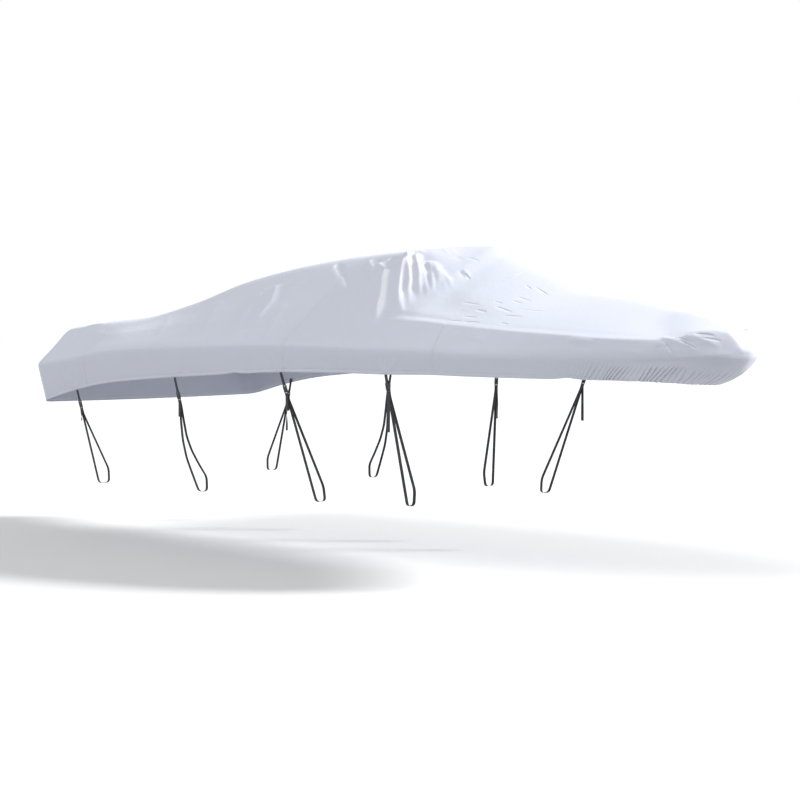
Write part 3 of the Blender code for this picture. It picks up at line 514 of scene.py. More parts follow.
def sewn_edges():
    """The seam's doubled cloth and puckers, and the hem's hollow tube over its row of stitches."""
    rise = np.zeros_like(girth)
    for number, seam in enumerate(SEAM_X):
        off = x_field - seam
        rise += SEAM_STEP * ease((off + SEAM_BAND + 0.001) / 0.002) * fade(off, 0.0015, -0.003)
        pull = np.exp(-((off / 0.030) ** 2))
        rise += SEAM_PUCKER * pull * soft_noise(51 + number, girth / 0.030, off / 0.05)
        rise -= SEAM_PULL * np.exp(-(((off + 0.5 * SEAM_BAND) / 0.060) ** 2))
    tube = np.clip(above_hem / TUBE_HEIGHT, 0.0, 1.0)
    rise += TUBE_RISE * np.sin(math.pi * tube ** TUBE_ROUNDNESS)
    rise -= STITCH_DIP * np.exp(-(((above_hem - STITCH_LINE) / STITCH_DIP_WIDTH) ** 2))
    rise += HEM_PUCKER * fade(above_hem, 0.05, -0.03) * soft_noise(55, walk_field / 0.028)
    return rise


edge_rise = sewn_edges()
print("sewn edges rise up to", round(float(edge_rise.max()) * 1000, 1), "mm")


# %% The whole skin
PORT_FOLDS_AFT, PORT_FOLDS_SHARE = 0.045, 0.8


def lit_fan_faces(fan):
    """Painted highlight: the forward faces of the fan's steep folds, where the slope of the rise in x is
    under zero, are made paler.
    """
    slope = -np.gradient(fan, station_x, axis=0)
    return ease(slope / FAN_LIGHT_SLOPE) * fade(x_field, FAN_LIGHT_ENDS_X, -FAN_LIGHT_FADE)


def side_rise(shift, share, seed):
    """All that lies on one side: folds moved aft by shift, at a share of their depth, and the mask of the
    fan's painted highlight.
    """
    fan = folds(x_field + shift, girth, PEAK_FAN, seed, FAN_LEAN)
    rise = fan
    for offset, table in ((20, LONG_FOLDS), (40, BOW_CREASES)):
        rise = rise + folds(x_field + shift, girth, table, seed + offset)
    rise = share * rise + bow_gathers() + strap_strain() + skirt_wrinkles()
    return rise + edge_lip() + nose_fullness() + edge_rise, lit_fan_faces(fan)


def both_sides(port, starboard):
    """Port from its hem up to the spine, and on down to the starboard hem."""
    return np.concatenate([port[:, :0:-1], starboard], 1)


starboard = half_skin * (1.0, -1.0, 1.0)
port_rise, port_fan_light = side_rise(PORT_FOLDS_AFT, PORT_FOLDS_SHARE, 600)
starboard_rise, starboard_fan_light = side_rise(0.0, 1.0, 500)
rise = both_sides(port_rise + slack(half_skin), starboard_rise + slack(starboard))
skin = both_sides(half_skin, starboard)
skin = skin + normals(skin) * rise[..., None]
skin_normal = normals(skin)
middle = skin.shape[1] // 2
print("the skin has", skin.shape[0] * skin.shape[1], "points")

# %% [markdown]
# ## Panels
# Each panel is its own mesh, and shares its edge with the next one.  The map on
# it is in metres, along and across the cloth, so that the weave has one size.

# %% Panel meshes
CLOTH = 0.0012


def add_piece(name, mesh, finish):
    thing = bpy.data.objects.new(name, mesh)
    bpy.context.scene.collection.objects.link(thing)
    mesh.materials.append(finish)
    return thing


def panel_mesh(name, grid, maps):
    """Quads between neighbouring points, welded where the two halves meet at an end."""
    stations, ring_count = grid.shape[:2]
    index = np.arange(stations * ring_count).reshape(stations, ring_count)
    quads = np.stack([index[:-1, 1:], index[1:, 1:], index[1:, :-1], index[:-1, :-1]], -1).reshape(-1, 4)
    mesh = bpy.data.meshes.new(name)
    mesh.from_pydata(grid.reshape(-1, 3), [], quads.tolist())
    for map_name, values in maps.items():
        layer = mesh.uv_layers.new(name=map_name)
        place = values.reshape(-1, 2)[quads.reshape(-1)]
        layer.data.foreach_set("uv", place.ravel().astype(np.float32))
    shape = bmesh.new()
    shape.from_mesh(mesh)
    bmesh.ops.remove_doubles(shape, verts=shape.verts, dist=0.0002)
    shape.to_mesh(mesh)
    shape.free()
    mesh.shade_smooth()
    return mesh


def cloth_piece(name, grid, maps, finish):
    """A panel with its thickness laid on to the inside."""
    piece = add_piece(name, panel_mesh(name, grid, maps), finish)
    wall = piece.modifiers.new("thickness", "SOLIDIFY")
    wall.thickness = CLOTH
    wall.offset = -1.0
    wall.use_even_offset = False
    return piece


gathers = np.stack([gather_count, gather_reach], -1)
fan_light_mask = both_sides(port_fan_light, starboard_fan_light)
skin_maps = {
    "cloth": np.stack([both_sides(walk_field, walk_field), both_sides(girth, -girth)], -1),
    "gathers": both_sides(gathers, gathers),
    "fan_highlight": np.stack([fan_light_mask, np.zeros_like(fan_light_mask)], -1),
}
cuts = [0] + [int(np.argmin(np.abs(station_x - seam))) for seam in SEAM_X] + [len(station_x) - 1]
print("panels end at stations", cuts)

# %% [markdown]
# ## Shader groups
# Weave, soil and wear come back in several finishes, so each is a node group,
# built once.  A group gives out masks and heights.  The shader stays in the
# material.


# %% Helpers for node trees
class Tree:
    """Adds nodes and links with few words."""

    def __init__(self, tree):
        self.tree = tree

    def add(self, kind, inputs=None, **settings):
        node = self.tree.nodes.new(kind)
        for name, value in settings.items():
            setattr(node, name, value)
        for name, value in (inputs or {}).items():
            self.put(node.inputs[name], value)
        return node

    def put(self, socket, value):
        """Links the socket to the value if that is a socket too, and else sets it."""
        if isinstance(value, bpy.types.NodeSocket):
            self.tree.links.new(value, socket)
        else:
            socket.default_value = value

    def math(self, operation, a, b=0.0):
        return self.add("ShaderNodeMath", {0: a, 1: b}, operation=operation).outputs[0]

    def blend(self, share, a, b):
        return self.add("ShaderNodeMix", {0: share, 6: a, 7: b}, data_type="RGBA").outputs[2]

    def noise(self, place, scale, detail, roughness):
        return self.add("ShaderNodeTexNoise", {
            "Vector": place, "Scale": scale, "Detail": detail, "Roughness": roughness,
        }).outputs[0]

    def bump(self, height, strength, distance, normal=None):
        inputs = {"Height": height, "Strength": strength, "Distance": distance}
        if normal is not None:
            inputs["Normal"] = normal
        return self.add("ShaderNodeBump", inputs).outputs[0]

    def group(self, group, **inputs):
        return self.add("ShaderNodeGroup", inputs, node_tree=group).outputs


def new_group(name, vectors, floats, outputs):
    """An empty group: its vector sockets, its number sockets with their values, and its outputs."""
    group = bpy.data.node_groups.new(name, "ShaderNodeTree")
    for socket_name in vectors:
        group.interface.new_socket(socket_name, in_out="INPUT", socket_type="NodeSocketVector")
    for socket_name, value in floats.items():
        socket = group.interface.new_socket(socket_name, in_out="INPUT", socket_type="NodeSocketFloat")
        socket.default_value = value
    for socket_name in outputs:
        group.interface.new_socket(socket_name, in_out="OUTPUT", socket_type="NodeSocketFloat")
    tree = Tree(group)
    return group, tree, tree.add("NodeGroupInput").outputs, tree.add("NodeGroupOutput").inputs


# %% Weave group
def make_weave():
    """Plain weave: two sets of rounded threads, each on top where a chequer says so."""
    group, tree, given, result = new_group(
        "plain_weave", ("Vector",), {"Pitch": 0.001}, ("Height", "Over"),
    )
    split = tree.add("ShaderNodeSeparateXYZ", {"Vector": given["Vector"]})
    turn = [tree.math("DIVIDE", split.outputs[i], given["Pitch"]) for i in range(2)]
    wave = [tree.math("SINE", tree.math("MULTIPLY", t, math.pi)) for t in turn]
    body = [tree.math("ABSOLUTE", w) for w in wave]
    sign = tree.math("MULTIPLY", wave[0], wave[1])
    over = tree.math("GREATER_THAN", sign, 0.0)
    under = tree.math("SUBTRACT", 1.0, over)
    height = tree.math("ADD", tree.math("MULTIPLY", over, body[0]), tree.math("MULTIPLY", under, body[1]))
    tree.put(result["Height"], height)
    tree.put(result["Over"], over)
    return group


# %% Soil group
def make_soil():
    """Two sizes of cloud, multiplied, as the dust and dried water that cloth outdoors collects."""
    group, tree, given, result = new_group("soil", ("Vector",), {"Size": 1.0}, ("Mask", "Fine"))
    clouds = [
        tree.noise(given["Vector"], tree.math("MULTIPLY", given["Size"], scale), detail, 0.55)
        for scale, detail in ((1.3, 4.0), (9.0, 3.0))
    ]
    both = tree.math("MULTIPLY", clouds[0], clouds[1])
    mask = tree.add("ShaderNodeMapRange", {"Value": both, 1: 0.14, 2: 0.38, 3: 0.0, 4: 1.0})
    tree.put(result["Mask"], mask.outputs[0])
    tree.put(result["Fine"], clouds[1])
    return group


# %% Crinkle group
def make_crinkle():
    """Small sharp creases: the absolute value of a noise about its middle, at two sizes."""
    group, tree, given, result = new_group("crinkle", ("Vector",), {"Scale": 12.0}, ("Height",))
    total = 0.0
    for factor, share in ((1.0, 1.0), (2.7, 0.45)):
        noise = tree.noise(given["Vector"], tree.math("MULTIPLY", given["Scale"], factor), 1.0, 0.4)
        fold = tree.math("ABSOLUTE", tree.math("SUBTRACT", noise, 0.5))
        total = tree.math("ADD", total, tree.math("MULTIPLY", fold, -share))
    tree.put(result["Height"], total)
    return group


# %% Gathers group
def make_gathers():
    """A narrow groove in each valley: (1 - |sin pi n|)^2 times the reach, n counting the gathers."""
    group, tree, given, result = new_group("gathers", ("Vector",), {}, ("Groove",))
    split = tree.add("ShaderNodeSeparateXYZ", {"Vector": given["Vector"]})
    wave = tree.math("SINE", tree.math("MULTIPLY", split.outputs[0], math.pi))
    groove = tree.math("POWER", tree.math("SUBTRACT", 1.0, tree.math("ABSOLUTE", wave)), 2.0)
    tree.put(result["Groove"], tree.math("MULTIPLY", groove, split.outputs[1]))
    return group


# %% Crease group
def make_crease():
    """Sinks a line: depth times 4t(1 - t) times e to minus (d/w)^2, t along it and d from it."""
    group, tree, given, result = new_group(
        "crease", ("Place", "From", "To"), {"Width": 0.008, "Depth": 0.003, "Height": 0.0}, ("Height",),
    )

    def vector(operation, a, b, output=0):
        return tree.add("ShaderNodeVectorMath", {0: a, 1: b}, operation=operation).outputs[output]

    way = vector("SUBTRACT", given["To"], given["From"])
    off = vector("SUBTRACT", given["Place"], given["From"])
    share = tree.math("DIVIDE", vector("DOT_PRODUCT", off, way, 1), vector("DOT_PRODUCT", way, way, 1))
    share = tree.math("MINIMUM", tree.math("MAXIMUM", share, 0.0), 1.0)
    foot = tree.add("ShaderNodeVectorMath", {0: way, "Scale": share}, operation="SCALE").outputs[0]
    gap = tree.add("ShaderNodeVectorMath", {0: vector("SUBTRACT", off, foot)}, operation="LENGTH").outputs[1]
    square = tree.math("POWER", tree.math("DIVIDE", gap, given["Width"]), 2.0)
    valley = tree.math("EXPONENT", tree.math("MULTIPLY", square, -1.0))
    swell = tree.math("MULTIPLY", tree.math("MULTIPLY", share, tree.math("SUBTRACT", 1.0, share)), 4.0)
    sunk = tree.math("MULTIPLY", tree.math("MULTIPLY", valley, swell), given["Depth"])
    tree.put(result["Height"], tree.math("SUBTRACT", given["Height"], sunk))
    return group


WEAVE, SOIL, CRINKLE = make_weave(), make_soil(), make_crinkle()
GATHERS, CREASE = make_gathers(), make_crease()
print("groups:", WEAVE.name, SOIL.name, CRINKLE.name, GATHERS.name, CREASE.name)

# %% [markdown]
# ## Finishes
# The cloth is silver grey coated polyester, smooth and a little shiny.  Three of
# its tones stand in for light: a painted highlight makes the fan's forward faces
# paler, painted shade makes the low skirt duller towards the bow, and painted
# shade darkens the grooves of the gathers.  Its finest creases are bumps.  The
# webbing is black, with a visible rib.  The buckles are moulded plastic, black
# with a blue cast.


# %% Starting a material
def start_material(name, **sockets):
    material = bpy.data.materials.new(name)
    material.use_nodes = True
    tree, shader = Tree(material.node_tree), material.node_tree.nodes["Principled BSDF"]
    for socket, value in sockets.items():
        shader.inputs[socket.replace("_", " ")].default_value = value
    return material, tree, shader


def dress(tree, shader, colour, rough, normal):
    for socket, value in (("Base Color", colour), ("Roughness", rough), ("Normal", normal)):
        tree.put(shader.inputs[socket], value)


# %% Cloth
CLOTH_LIGHT = (0.520, 0.540, 0.610, 1.0)
CLOTH_DARK = (0.450, 0.470, 0.545, 1.0)
CLOTH_SOIL = (0.450, 0.460, 0.500, 1.0)
CLOTH_THREAD_PITCH = 0.0011


FINE_CREASES = (                # x and girth at both ends, width and depth
    (0.495, 0.723, 0.628, 0.693, 0.007, 0.0035),
    (0.639, 0.757, 0.728, 0.744, 0.009, 0.0070),
    (0.617, 0.867, 0.716, 0.829, 0.008, 0.0050),
    (0.661, 0.924, 0.772, 0.874, 0.008, 0.0055),
    (0.546, 0.951, 0.650, 0.918, 0.007, 0.0030),
    (0.683, 0.613, 0.750, 0.594, 0.008, 0.0045),
    (0.739, 0.660, 0.882, 0.653, 0.009, 0.0065),
    (0.860, 0.725, 0.981, 0.662, 0.009, 0.0060),
    (0.904, 0.814, 0.970, 0.803, 0.008, 0.0050),
    (0.772, 0.526, 0.860, 0.511, 0.008, 0.0040),
    (0.772, 0.460, 0.882, 0.443, 0.008, 0.0045),
    (0.705, 0.286, 0.772, 0.307, 0.008, 0.0045),
    (0.772, 0.263, 0.915, 0.292, 0.008, 0.0055),
    (0.893, 0.589, 1.059, 0.512, 0.008, 0.0035),
    (0.278, 0.459, 0.345, 0.472, 0.009, 0.0070),
    (0.186, 0.306, 0.284, 0.278, 0.008, 0.0035),
    (2.050, 0.522, 2.128, 0.541, 0.007, 0.0045),
    (2.060, 0.545, 2.130, 0.585, 0.008, 0.0080),
    (2.130, 0.483, 2.215, 0.462, 0.008, 0.0080),
    (2.155, 0.505, 2.235, 0.485, 0.007, 0.0045),
)
PORT_SHIFT = -0.055
GROOVE_DEPTH = 0.0050
# Painted shade: the darker colour given to the low bow skirt and the gather grooves.
PAINTED_SKIRT_SHADE = (0.300, 0.315, 0.360, 1.0)
# Painted highlight: the paler colour given to the fan's forward faces.
PAINTED_FAN_HIGHLIGHT = (0.800, 0.815, 0.860, 1.0)
SOIL_SHARE, SKIRT_SHADE_SHARE, GROOVE_SHADE_SHARE, FAN_HIGHLIGHT_SHARE = 0.15, 0.34, 0.30, 0.82
SKIRT_SHADE_RAMPS = ((0, -1.0, 1.6), (0, 1.75, 2.20), (2, -0.68, -0.76))      # axis, start and end


def fine_creases(tree, flat):
    """Chains the creases on a map that is folded at the spine, so that both sides have them."""
    split = tree.add("ShaderNodeSeparateXYZ", {"Vector": flat})
    shift = tree.math("MULTIPLY", tree.math("GREATER_THAN", split.outputs[1], 0.0), PORT_SHIFT)
    both = tree.add("ShaderNodeCombineXYZ", {
        0: tree.math("ADD", split.outputs[0], shift), 1: tree.math("ABSOLUTE", split.outputs[1]),
    }).outputs[0]
    total = 0.0
    for x_0, v_0, x_1, v_1, width, depth in FINE_CREASES:
        ends = [(float(np.interp(x, station_x, walk)), v, 0.0) for x, v in ((x_0, v_0), (x_1, v_1))]
        total = tree.group(
            CREASE, Place=both, From=ends[0], To=ends[1], Width=width, Depth=depth, Height=total,
        )["Height"]
    return total


def painted_skirt_shade(tree, place):
    """Painted shade: the low skirt is darker towards the bow, two ramps in x times a ramp in z."""
    split = tree.add("ShaderNodeSeparateXYZ", {"Vector": place})
    long, short, low = (
        tree.add("ShaderNodeMapRange", {"Value": split.outputs[i], 1: start, 2: end}).outputs[0]
        for i, start, end in SKIRT_SHADE_RAMPS
    )
    return tree.math("MULTIPLY", tree.math("ADD", long, short), low)


def cloth_material():
    """Threads under soil, with painted shade in the gather grooves and on the low bow skirt, and a painted
    highlight on the fan's forward faces.
    """
    material, tree, shader = start_material(
        "cover_cloth_fine", Sheen_Weight=0.12, Sheen_Roughness=0.45, Specular_IOR_Level=0.45,
    )
    place = tree.add("ShaderNodeTexCoord").outputs
    flat = tree.add("ShaderNodeUVMap", uv_map="cloth").outputs[0]
    weave = tree.group(WEAVE, Vector=flat, Pitch=CLOTH_THREAD_PITCH)
    soil = tree.group(SOIL, Vector=place["Object"], Size=1.0)
    crinkle = tree.group(CRINKLE, Vector=place["Object"], Scale=13.0)
    threads = tree.blend(weave["Over"], CLOTH_LIGHT, CLOTH_DARK)
    dusty = tree.blend(tree.math("MULTIPLY", soil["Mask"], SOIL_SHARE), threads, CLOTH_SOIL)
    gathers = tree.add("ShaderNodeUVMap", uv_map="gathers").outputs[0]
    groove = tree.group(GATHERS, Vector=gathers)["Groove"]
    # Painted shade: darker on the low bow skirt and in each gather's groove.
    skirt_shade = tree.math("MULTIPLY", painted_skirt_shade(tree, place["Object"]), SKIRT_SHADE_SHARE)
    painted_shade = tree.math("ADD", skirt_shade, tree.math("MULTIPLY", groove, GROOVE_SHADE_SHARE))
    # Painted highlight: the fan's forward faces are blended towards a paler colour.
    fan_highlight = tree.add("ShaderNodeUVMap", uv_map="fan_highlight").outputs[0]
    fan_highlight = tree.add("ShaderNodeSeparateXYZ", {0: fan_highlight}).outputs[0]
    pale = tree.blend(tree.math("MULTIPLY", fan_highlight, FAN_HIGHLIGHT_SHARE), tree.blend(painted_shade, dusty, PAINTED_SKIRT_SHADE), PAINTED_FAN_HIGHLIGHT)
    rough = tree.math("ADD", 0.46, tree.math("MULTIPLY", soil["Fine"], 0.16))
    lines = tree.math("SUBTRACT", fine_creases(tree, flat), tree.math("MULTIPLY", groove, GROOVE_DEPTH))
    sunk = tree.bump(lines, 1.0, 1.0)
    creased = tree.bump(crinkle["Height"], 0.12, 0.010, sunk)
    dress(tree, shader, pale, rough, tree.bump(weave["Height"], 0.18, 0.0004, creased))
    return material


CLOTH_FINISH = cloth_material()
print("cloth threads", CLOTH_THREAD_PITCH * 1000, "mm apart")

# %% Webbing
WEBBING_BLACK = (0.010, 0.010, 0.012, 1.0)
WEBBING_WORN = (0.045, 0.046, 0.052, 1.0)
RIB_PITCH = 0.0021


def webbing_material():
    material, tree, shader = start_material("webbing_fine", Sheen_Weight=0.10, Sheen_Roughness=0.5)
    place = tree.add("ShaderNodeTexCoord").outputs
    flat = tree.add("ShaderNodeUVMap", uv_map="webbing").outputs[0]
    weave = tree.group(WEAVE, Vector=flat, Pitch=RIB_PITCH)
    soil = tree.group(SOIL, Vector=place["Object"], Size=14.0)
    worn = tree.math("MULTIPLY", weave["Height"], tree.math("ADD", 0.25, soil["Mask"]))
    colour = tree.blend(worn, WEBBING_BLACK, WEBBING_WORN)
    rough = tree.math("SUBTRACT", 0.78, tree.math("MULTIPLY", soil["Fine"], 0.2))
    dress(tree, shader, colour, rough, tree.bump(weave["Height"], 0.6, 0.0006))
    return material


# %% Buckle plastic and thread
BUCKLE_BLACK = (0.014, 0.018, 0.026, 1.0)
BUCKLE_WORN = (0.060, 0.068, 0.085, 1.0)


def buckle_material():
    material, tree, shader = start_material("buckle_moulded", Coat_Weight=0.08, Coat_Roughness=0.35)
    place = tree.add("ShaderNodeTexCoord").outputs
    soil = tree.group(SOIL, Vector=place["Object"], Size=30.0)
    grain = tree.noise(place["Object"], 1400.0, 2.0, 0.5)
    colour = tree.blend(tree.math("MULTIPLY", soil["Mask"], 0.5), BUCKLE_BLACK, BUCKLE_WORN)
    rough = tree.math("ADD", 0.34, tree.math("MULTIPLY", soil["Fine"], 0.22))
    dress(tree, shader, colour, rough, tree.bump(grain, 0.25, 0.0002))
    return material


def thread_material(name, pale, deep):
    """Twisted thread: a fine wave of two tones at an angle to the stitch."""
    material, tree, shader = start_material(name, Roughness=0.62, Sheen_Weight=0.2)
    place = tree.add("ShaderNodeTexCoord").outputs
    twist = tree.add(
        "ShaderNodeTexWave", {"Vector": place["Object"], "Scale": 420.0}, bands_direction="DIAGONAL",
    )
    tree.put(shader.inputs["Base Color"], tree.blend(twist.outputs[1], deep, pale))
    return material


WEBBING_FINISH, BUCKLE_FINISH = webbing_material(), buckle_material()
CLOTH_THREAD = thread_material("cover_thread", (0.50, 0.52, 0.58, 1.0), (0.40, 0.42, 0.48, 1.0))
STRAP_THREAD = thread_material("strap_thread", (0.060, 0.060, 0.066, 1.0), (0.020, 0.020, 0.023, 1.0))
print("finishes:", WEBBING_FINISH.name, BUCKLE_FINISH.name, CLOTH_THREAD.name, STRAP_THREAD.name)

# %% [markdown]
# ## Making the panels
# The panels replace the CAD's cloth.  A table gives the size of the flat piece
# that each was cut from.

# %% Cloth panels
FLAT_CUTS = {           # girth, length and area of each flat cut
    "stern": (3.10, 1.30, 3.25),
    "aft": (3.12, 2.20, 6.35),
    "peak": (3.12, 1.36, 3.90),
    "bow": (2.75, 2.20, 3.65),
}
panels = {}
for number, name in enumerate(PANELS):
    part = slice(cuts[number], cuts[number + 1] + 1)
    maps = {map_name: values[part] for map_name, values in skin_maps.items()}
    piece = cloth_piece(f"{name}_cloth", skin[part], maps, CLOTH_FINISH)
    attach(piece, "root")
    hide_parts(f"{name}_panel")
    panels[name] = piece
    print(piece.name, len(piece.data.polygons), "faces")

# %% [markdown]
# ## Stitches
# Every seam and hem is closed with a row of small stitches.  One stitch is a
# grain of eight faces, and a row of them is one mesh.


# %% Rows of stitches
def evenly(points, pitch):
    """Points at equal steps along a polyline, with the way along it at each."""
    step = np.linalg.norm(np.diff(points, axis=0), axis=1)
    keep = np.concatenate([[True], step > 1e-6])
    points = points[keep]
    at = np.concatenate([[0.0], np.cumsum(np.linalg.norm(np.diff(points, axis=0), axis=1))])
    wanted = np.arange(0.5 * pitch, at[-1], pitch)
    place = np.stack([np.interp(wanted, at, points[:, i]) for i in range(3)], 1)
    ahead = np.stack([np.interp(wanted + 0.2 * pitch, at, points[:, i]) for i in range(3)], 1)
    way = ahead - place
    return place, way / np.linalg.norm(way, axis=1, keepdims=True)


def nearest(points, places, values):
    """The value of the nearest of the points, for each place."""
    gap = np.linalg.norm(places[:, None] - points[None], axis=2)
    return values[np.argmin(gap, 1)]


def stitch_mesh(name, place, way, up, length, thick):
    """Each grain has two ends, two sides, a top and a foot, joined by eight triangles."""
    side = np.cross(up, way)
    side = side / np.linalg.norm(side, axis=1, keepdims=True)
    corners = np.stack([
        place - way * length / 2.0, place + way * length / 2.0,
        place - side * thick / 2.0, place + side * thick / 2.0,
        place + up * thick * 0.7, place - up * thick * 0.5,
    ], 1)
    pattern = np.array((
        (0, 2, 4), (2, 1, 4), (1, 3, 4), (3, 0, 4), (2, 0, 5), (1, 2, 5), (3, 1, 5), (0, 3, 5),
    ))
    faces = (np.arange(len(place))[:, None, None] * 6 + pattern).reshape(-1, 3)
    mesh = bpy.data.meshes.new(name)
    mesh.from_pydata(corners.reshape(-1, 3), [], faces.tolist())
    return mesh


def stitch_row(points, point_normals, pitch):
    place, way = evenly(points, pitch)
    return place, way, nearest(points, place, point_normals)


def join_rows(rows):
    return [np.concatenate(column) for column in zip(*rows)]


# %% Seam and hem stitches
CLOTH_STITCH = (0.0085, 0.0056, 0.0011)        # pitch, length and thickness
SEAM_ROWS = (-0.0125, -0.0020)
stitch_pieces = {name: [] for name in PANELS}


def sew(owner, kind, places):
    """One mesh of stitches along the rows of the skin that the places pick out."""
    rows = [stitch_row(skin[at], skin_normal[at], CLOTH_STITCH[0]) for at in places]
    mesh = stitch_mesh(f"{owner}_{kind}_stitches", *join_rows(rows), *CLOTH_STITCH[1:])
    stitch_pieces[owner].append(add_piece(mesh.name, mesh, CLOTH_THREAD))
    print(mesh.name, len(mesh.polygons) // 8, "stitches")


for owner, seam in zip(PANELS, SEAM_X):
    sew(owner, "seam", [int(np.argmin(np.abs(station_x - seam - offset))) for offset in SEAM_ROWS])

hem_ring = int(np.argmin(np.abs(above_hem[len(above_hem) // 2] - STITCH_LINE)))
for number, name in enumerate(PANELS):
    part = slice(cuts[number], cuts[number + 1] + 1)
    sew(name, "hem", [(part, middle + hem_ring), (part, middle - hem_ring)])

for name, piece in panels.items():
    for row in stitch_pieces[name]:
        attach(row, "root")
    width, length, area = FLAT_CUTS[name]

# %% [markdown]
# ## Straps
# Each strap is three lengths of 25 mm webbing.  A tab comes from inside the
# hem and turns round the buckle's upper bar.  The tie turns round the lower
# bar, runs down, round the foot of its loop and back, and through the buckle
# again to a free tail that hangs plumb.

# %% Strap sizes
WEBBING_WIDTH, WEBBING = 0.0250, 0.0016
CAD_CLOTH, GAP = 0.0025, 0.0003
TAB_SEWN, TAB_CLEAR, TAB_DROP, TAB_TURN = 0.033, 0.0004, 0.0035, 0.012
SEWN_RETURN = 0.026
BAR, LEG_LEAVES, LEG_CLOSES, BACK_RUN_JOINS = 0.0032, 0.0022, 0.0090, 0.0340
CROSSING, TAIL_START = (0.0042, 0.0016), 0.0080
MIDDLE_BAR, LOWER_BAR = 0.0586, 0.0680
LOOP_WIDTH, LOOP_HEIGHT = 0.076, 0.102
BELLY = ((0.2, 0.55), (0.4, 0.95), (0.6, 0.95), (0.8, 0.50))
TAIL_STEPS, TAIL_LIFT, TWIST_FROM, TWIST_OVER = 6, 0.02, 0.15, 0.70
STRAP_COLUMNS = (
    "name", "hem_x", "tab", "foot_x", "foot_out", "foot_z", "belly", "loop_spread", "tail", "tail_twist",
)
STRAPS = (
    ("1", -3.038, 0.085, -2.968, 0.933, -1.758, 0.000, 0.020, 0.075, 55.0),
    ("2", -1.848, 0.110, -1.818, 0.933, -1.758, 0.050, 0.000, 0.100, 0.0),
    ("3", -0.740, 0.090, -0.604, 0.933, -1.758, 0.000, 0.008, 0.235, 75.0),
    ("4", 0.187, 0.060, 0.084, 0.752, -1.758, 0.000, 0.000, 0.250, 8.0),
)
AT_BAR = BAR / 2.0 + GAP + WEBBING / 2.0
CLOSED_UP = (WEBBING + GAP) / 2.0
OUTSIDE = AT_BAR + WEBBING + 2.0 * GAP
print(len(STRAPS), "straps a side of", WEBBING_WIDTH * 1000, "mm webbing")


# %% Where a strap starts
def unit(vector):
    return vector / np.linalg.norm(vector, axis=-1, keepdims=True)


def strap_axes(strap):
    """Start under the hem, and the ways across, down and out, from the CAD's plain skin there."""
    near = strap["hem_x"] + np.array((-0.02, 0.0, 0.02))
    lines = carrying_lines(near, half_breadth(near))
    ring = np.repeat(np.array(((3.4, 4.0),)), 3, 0)
    skirt = spoke_curves(lines, ring, 0.0 * near, near)[0] * (1.0, -1.0, 1.0)
    upward = unit(skirt[1, 0] - skirt[1, 1])
    outward = unit(np.cross(unit(skirt[2, 1] - skirt[0, 1]), upward))
    start = skirt[1, 1] - outward * (CAD_CLOTH + TAB_CLEAR + WEBBING / 2.0) - upward * TAB_DROP
    foot = np.array((strap["foot_x"], -strap["foot_out"], strap["foot_z"]))
    down = unit(foot - start)
    across = unit(np.cross(outward, down))
    return start, across, down, np.cross(down, across), upward


# %% Routes of the tab and the tie
def tab_route(strap, down, out, upward):
    """Points (down, out) from inside the hem to the bar, round it and back to the sewn end."""
    bar = strap["tab"]
    sewn = (TAB_SEWN + TAB_DROP) * np.array((upward @ down, upward @ out))
    return np.array((
        sewn,
        (0.0, 0.0),
        (TAB_TURN, CLOSED_UP),
        (bar - LEG_CLOSES, CLOSED_UP),
        (bar - LEG_LEAVES, AT_BAR),
        (bar + AT_BAR, AT_BAR),
        (bar + AT_BAR, -AT_BAR),
        (bar - LEG_LEAVES, -AT_BAR),
        (bar - LEG_CLOSES, -CLOSED_UP),
        (bar - SEWN_RETURN, -CLOSED_UP),
    ))


def tie_route(strap, start, down, out):
    """Points (down, out) from the sewn end round the foot of the loop to where the tail starts."""
    lower, middle_bar = strap["tab"] + LOWER_BAR, strap["tab"] + MIDDLE_BAR

    def local(distance_out, z):
        point = np.array((strap["foot_x"], -distance_out, z)) - start
        return np.array((point @ down, point @ out))

    def run(first, last):
        belly = np.array((0.0, strap["belly"]))
        return [first + (last - first) * way + belly * share for way, share in BELLY]

    inner = strap["foot_out"] - LOOP_WIDTH - strap["loop_spread"]
    front_foot = local(strap["foot_out"], strap["foot_z"])
    back_foot = local(inner, strap["foot_z"])
    back_top = local(inner, strap["foot_z"] + LOOP_HEIGHT)
    front_start = np.array((lower + LEG_CLOSES, CLOSED_UP))
    back_end = np.array((lower + BACK_RUN_JOINS, -OUTSIDE))
    turn_low, turn_high = CROSSING
    return np.array([
        (lower + SEWN_RETURN, -CLOSED_UP),
        (lower + LEG_CLOSES, -CLOSED_UP),
        (lower + LEG_LEAVES, -AT_BAR),
        (lower - AT_BAR, -AT_BAR),
        (lower - AT_BAR, AT_BAR),
        (lower + LEG_LEAVES, AT_BAR),
        front_start,
        *run(front_start, front_foot),
        front_foot,
        back_foot,
        back_top,
        *run(back_top, back_end),
        back_end,
        (lower - turn_low, -OUTSIDE),
        (middle_bar + turn_high, -AT_BAR),
        (middle_bar - AT_BAR, -AT_BAR),
        (middle_bar - AT_BAR, AT_BAR),
        (middle_bar + turn_high, AT_BAR),
        (lower - turn_low, OUTSIDE),
        (lower + TAIL_START, OUTSIDE),
    ])


def tail_rows(strap, last, across, down, out):
    """The free end hangs plumb: its points, how far it drifts across, and how it turns."""
    plumb = np.array((0.0, 0.0, -1.0))
    t = np.arange(1, TAIL_STEPS + 1) / TAIL_STEPS
    fall = np.array((plumb @ down, max(plumb @ out, TAIL_LIFT)))
    points = last + fall * strap["tail"] * t[:, None]
    turn = strap["tail_twist"] * fade(t, TWIST_FROM, TWIST_OVER)
    return points, plumb @ across * strap["tail"] * t, turn


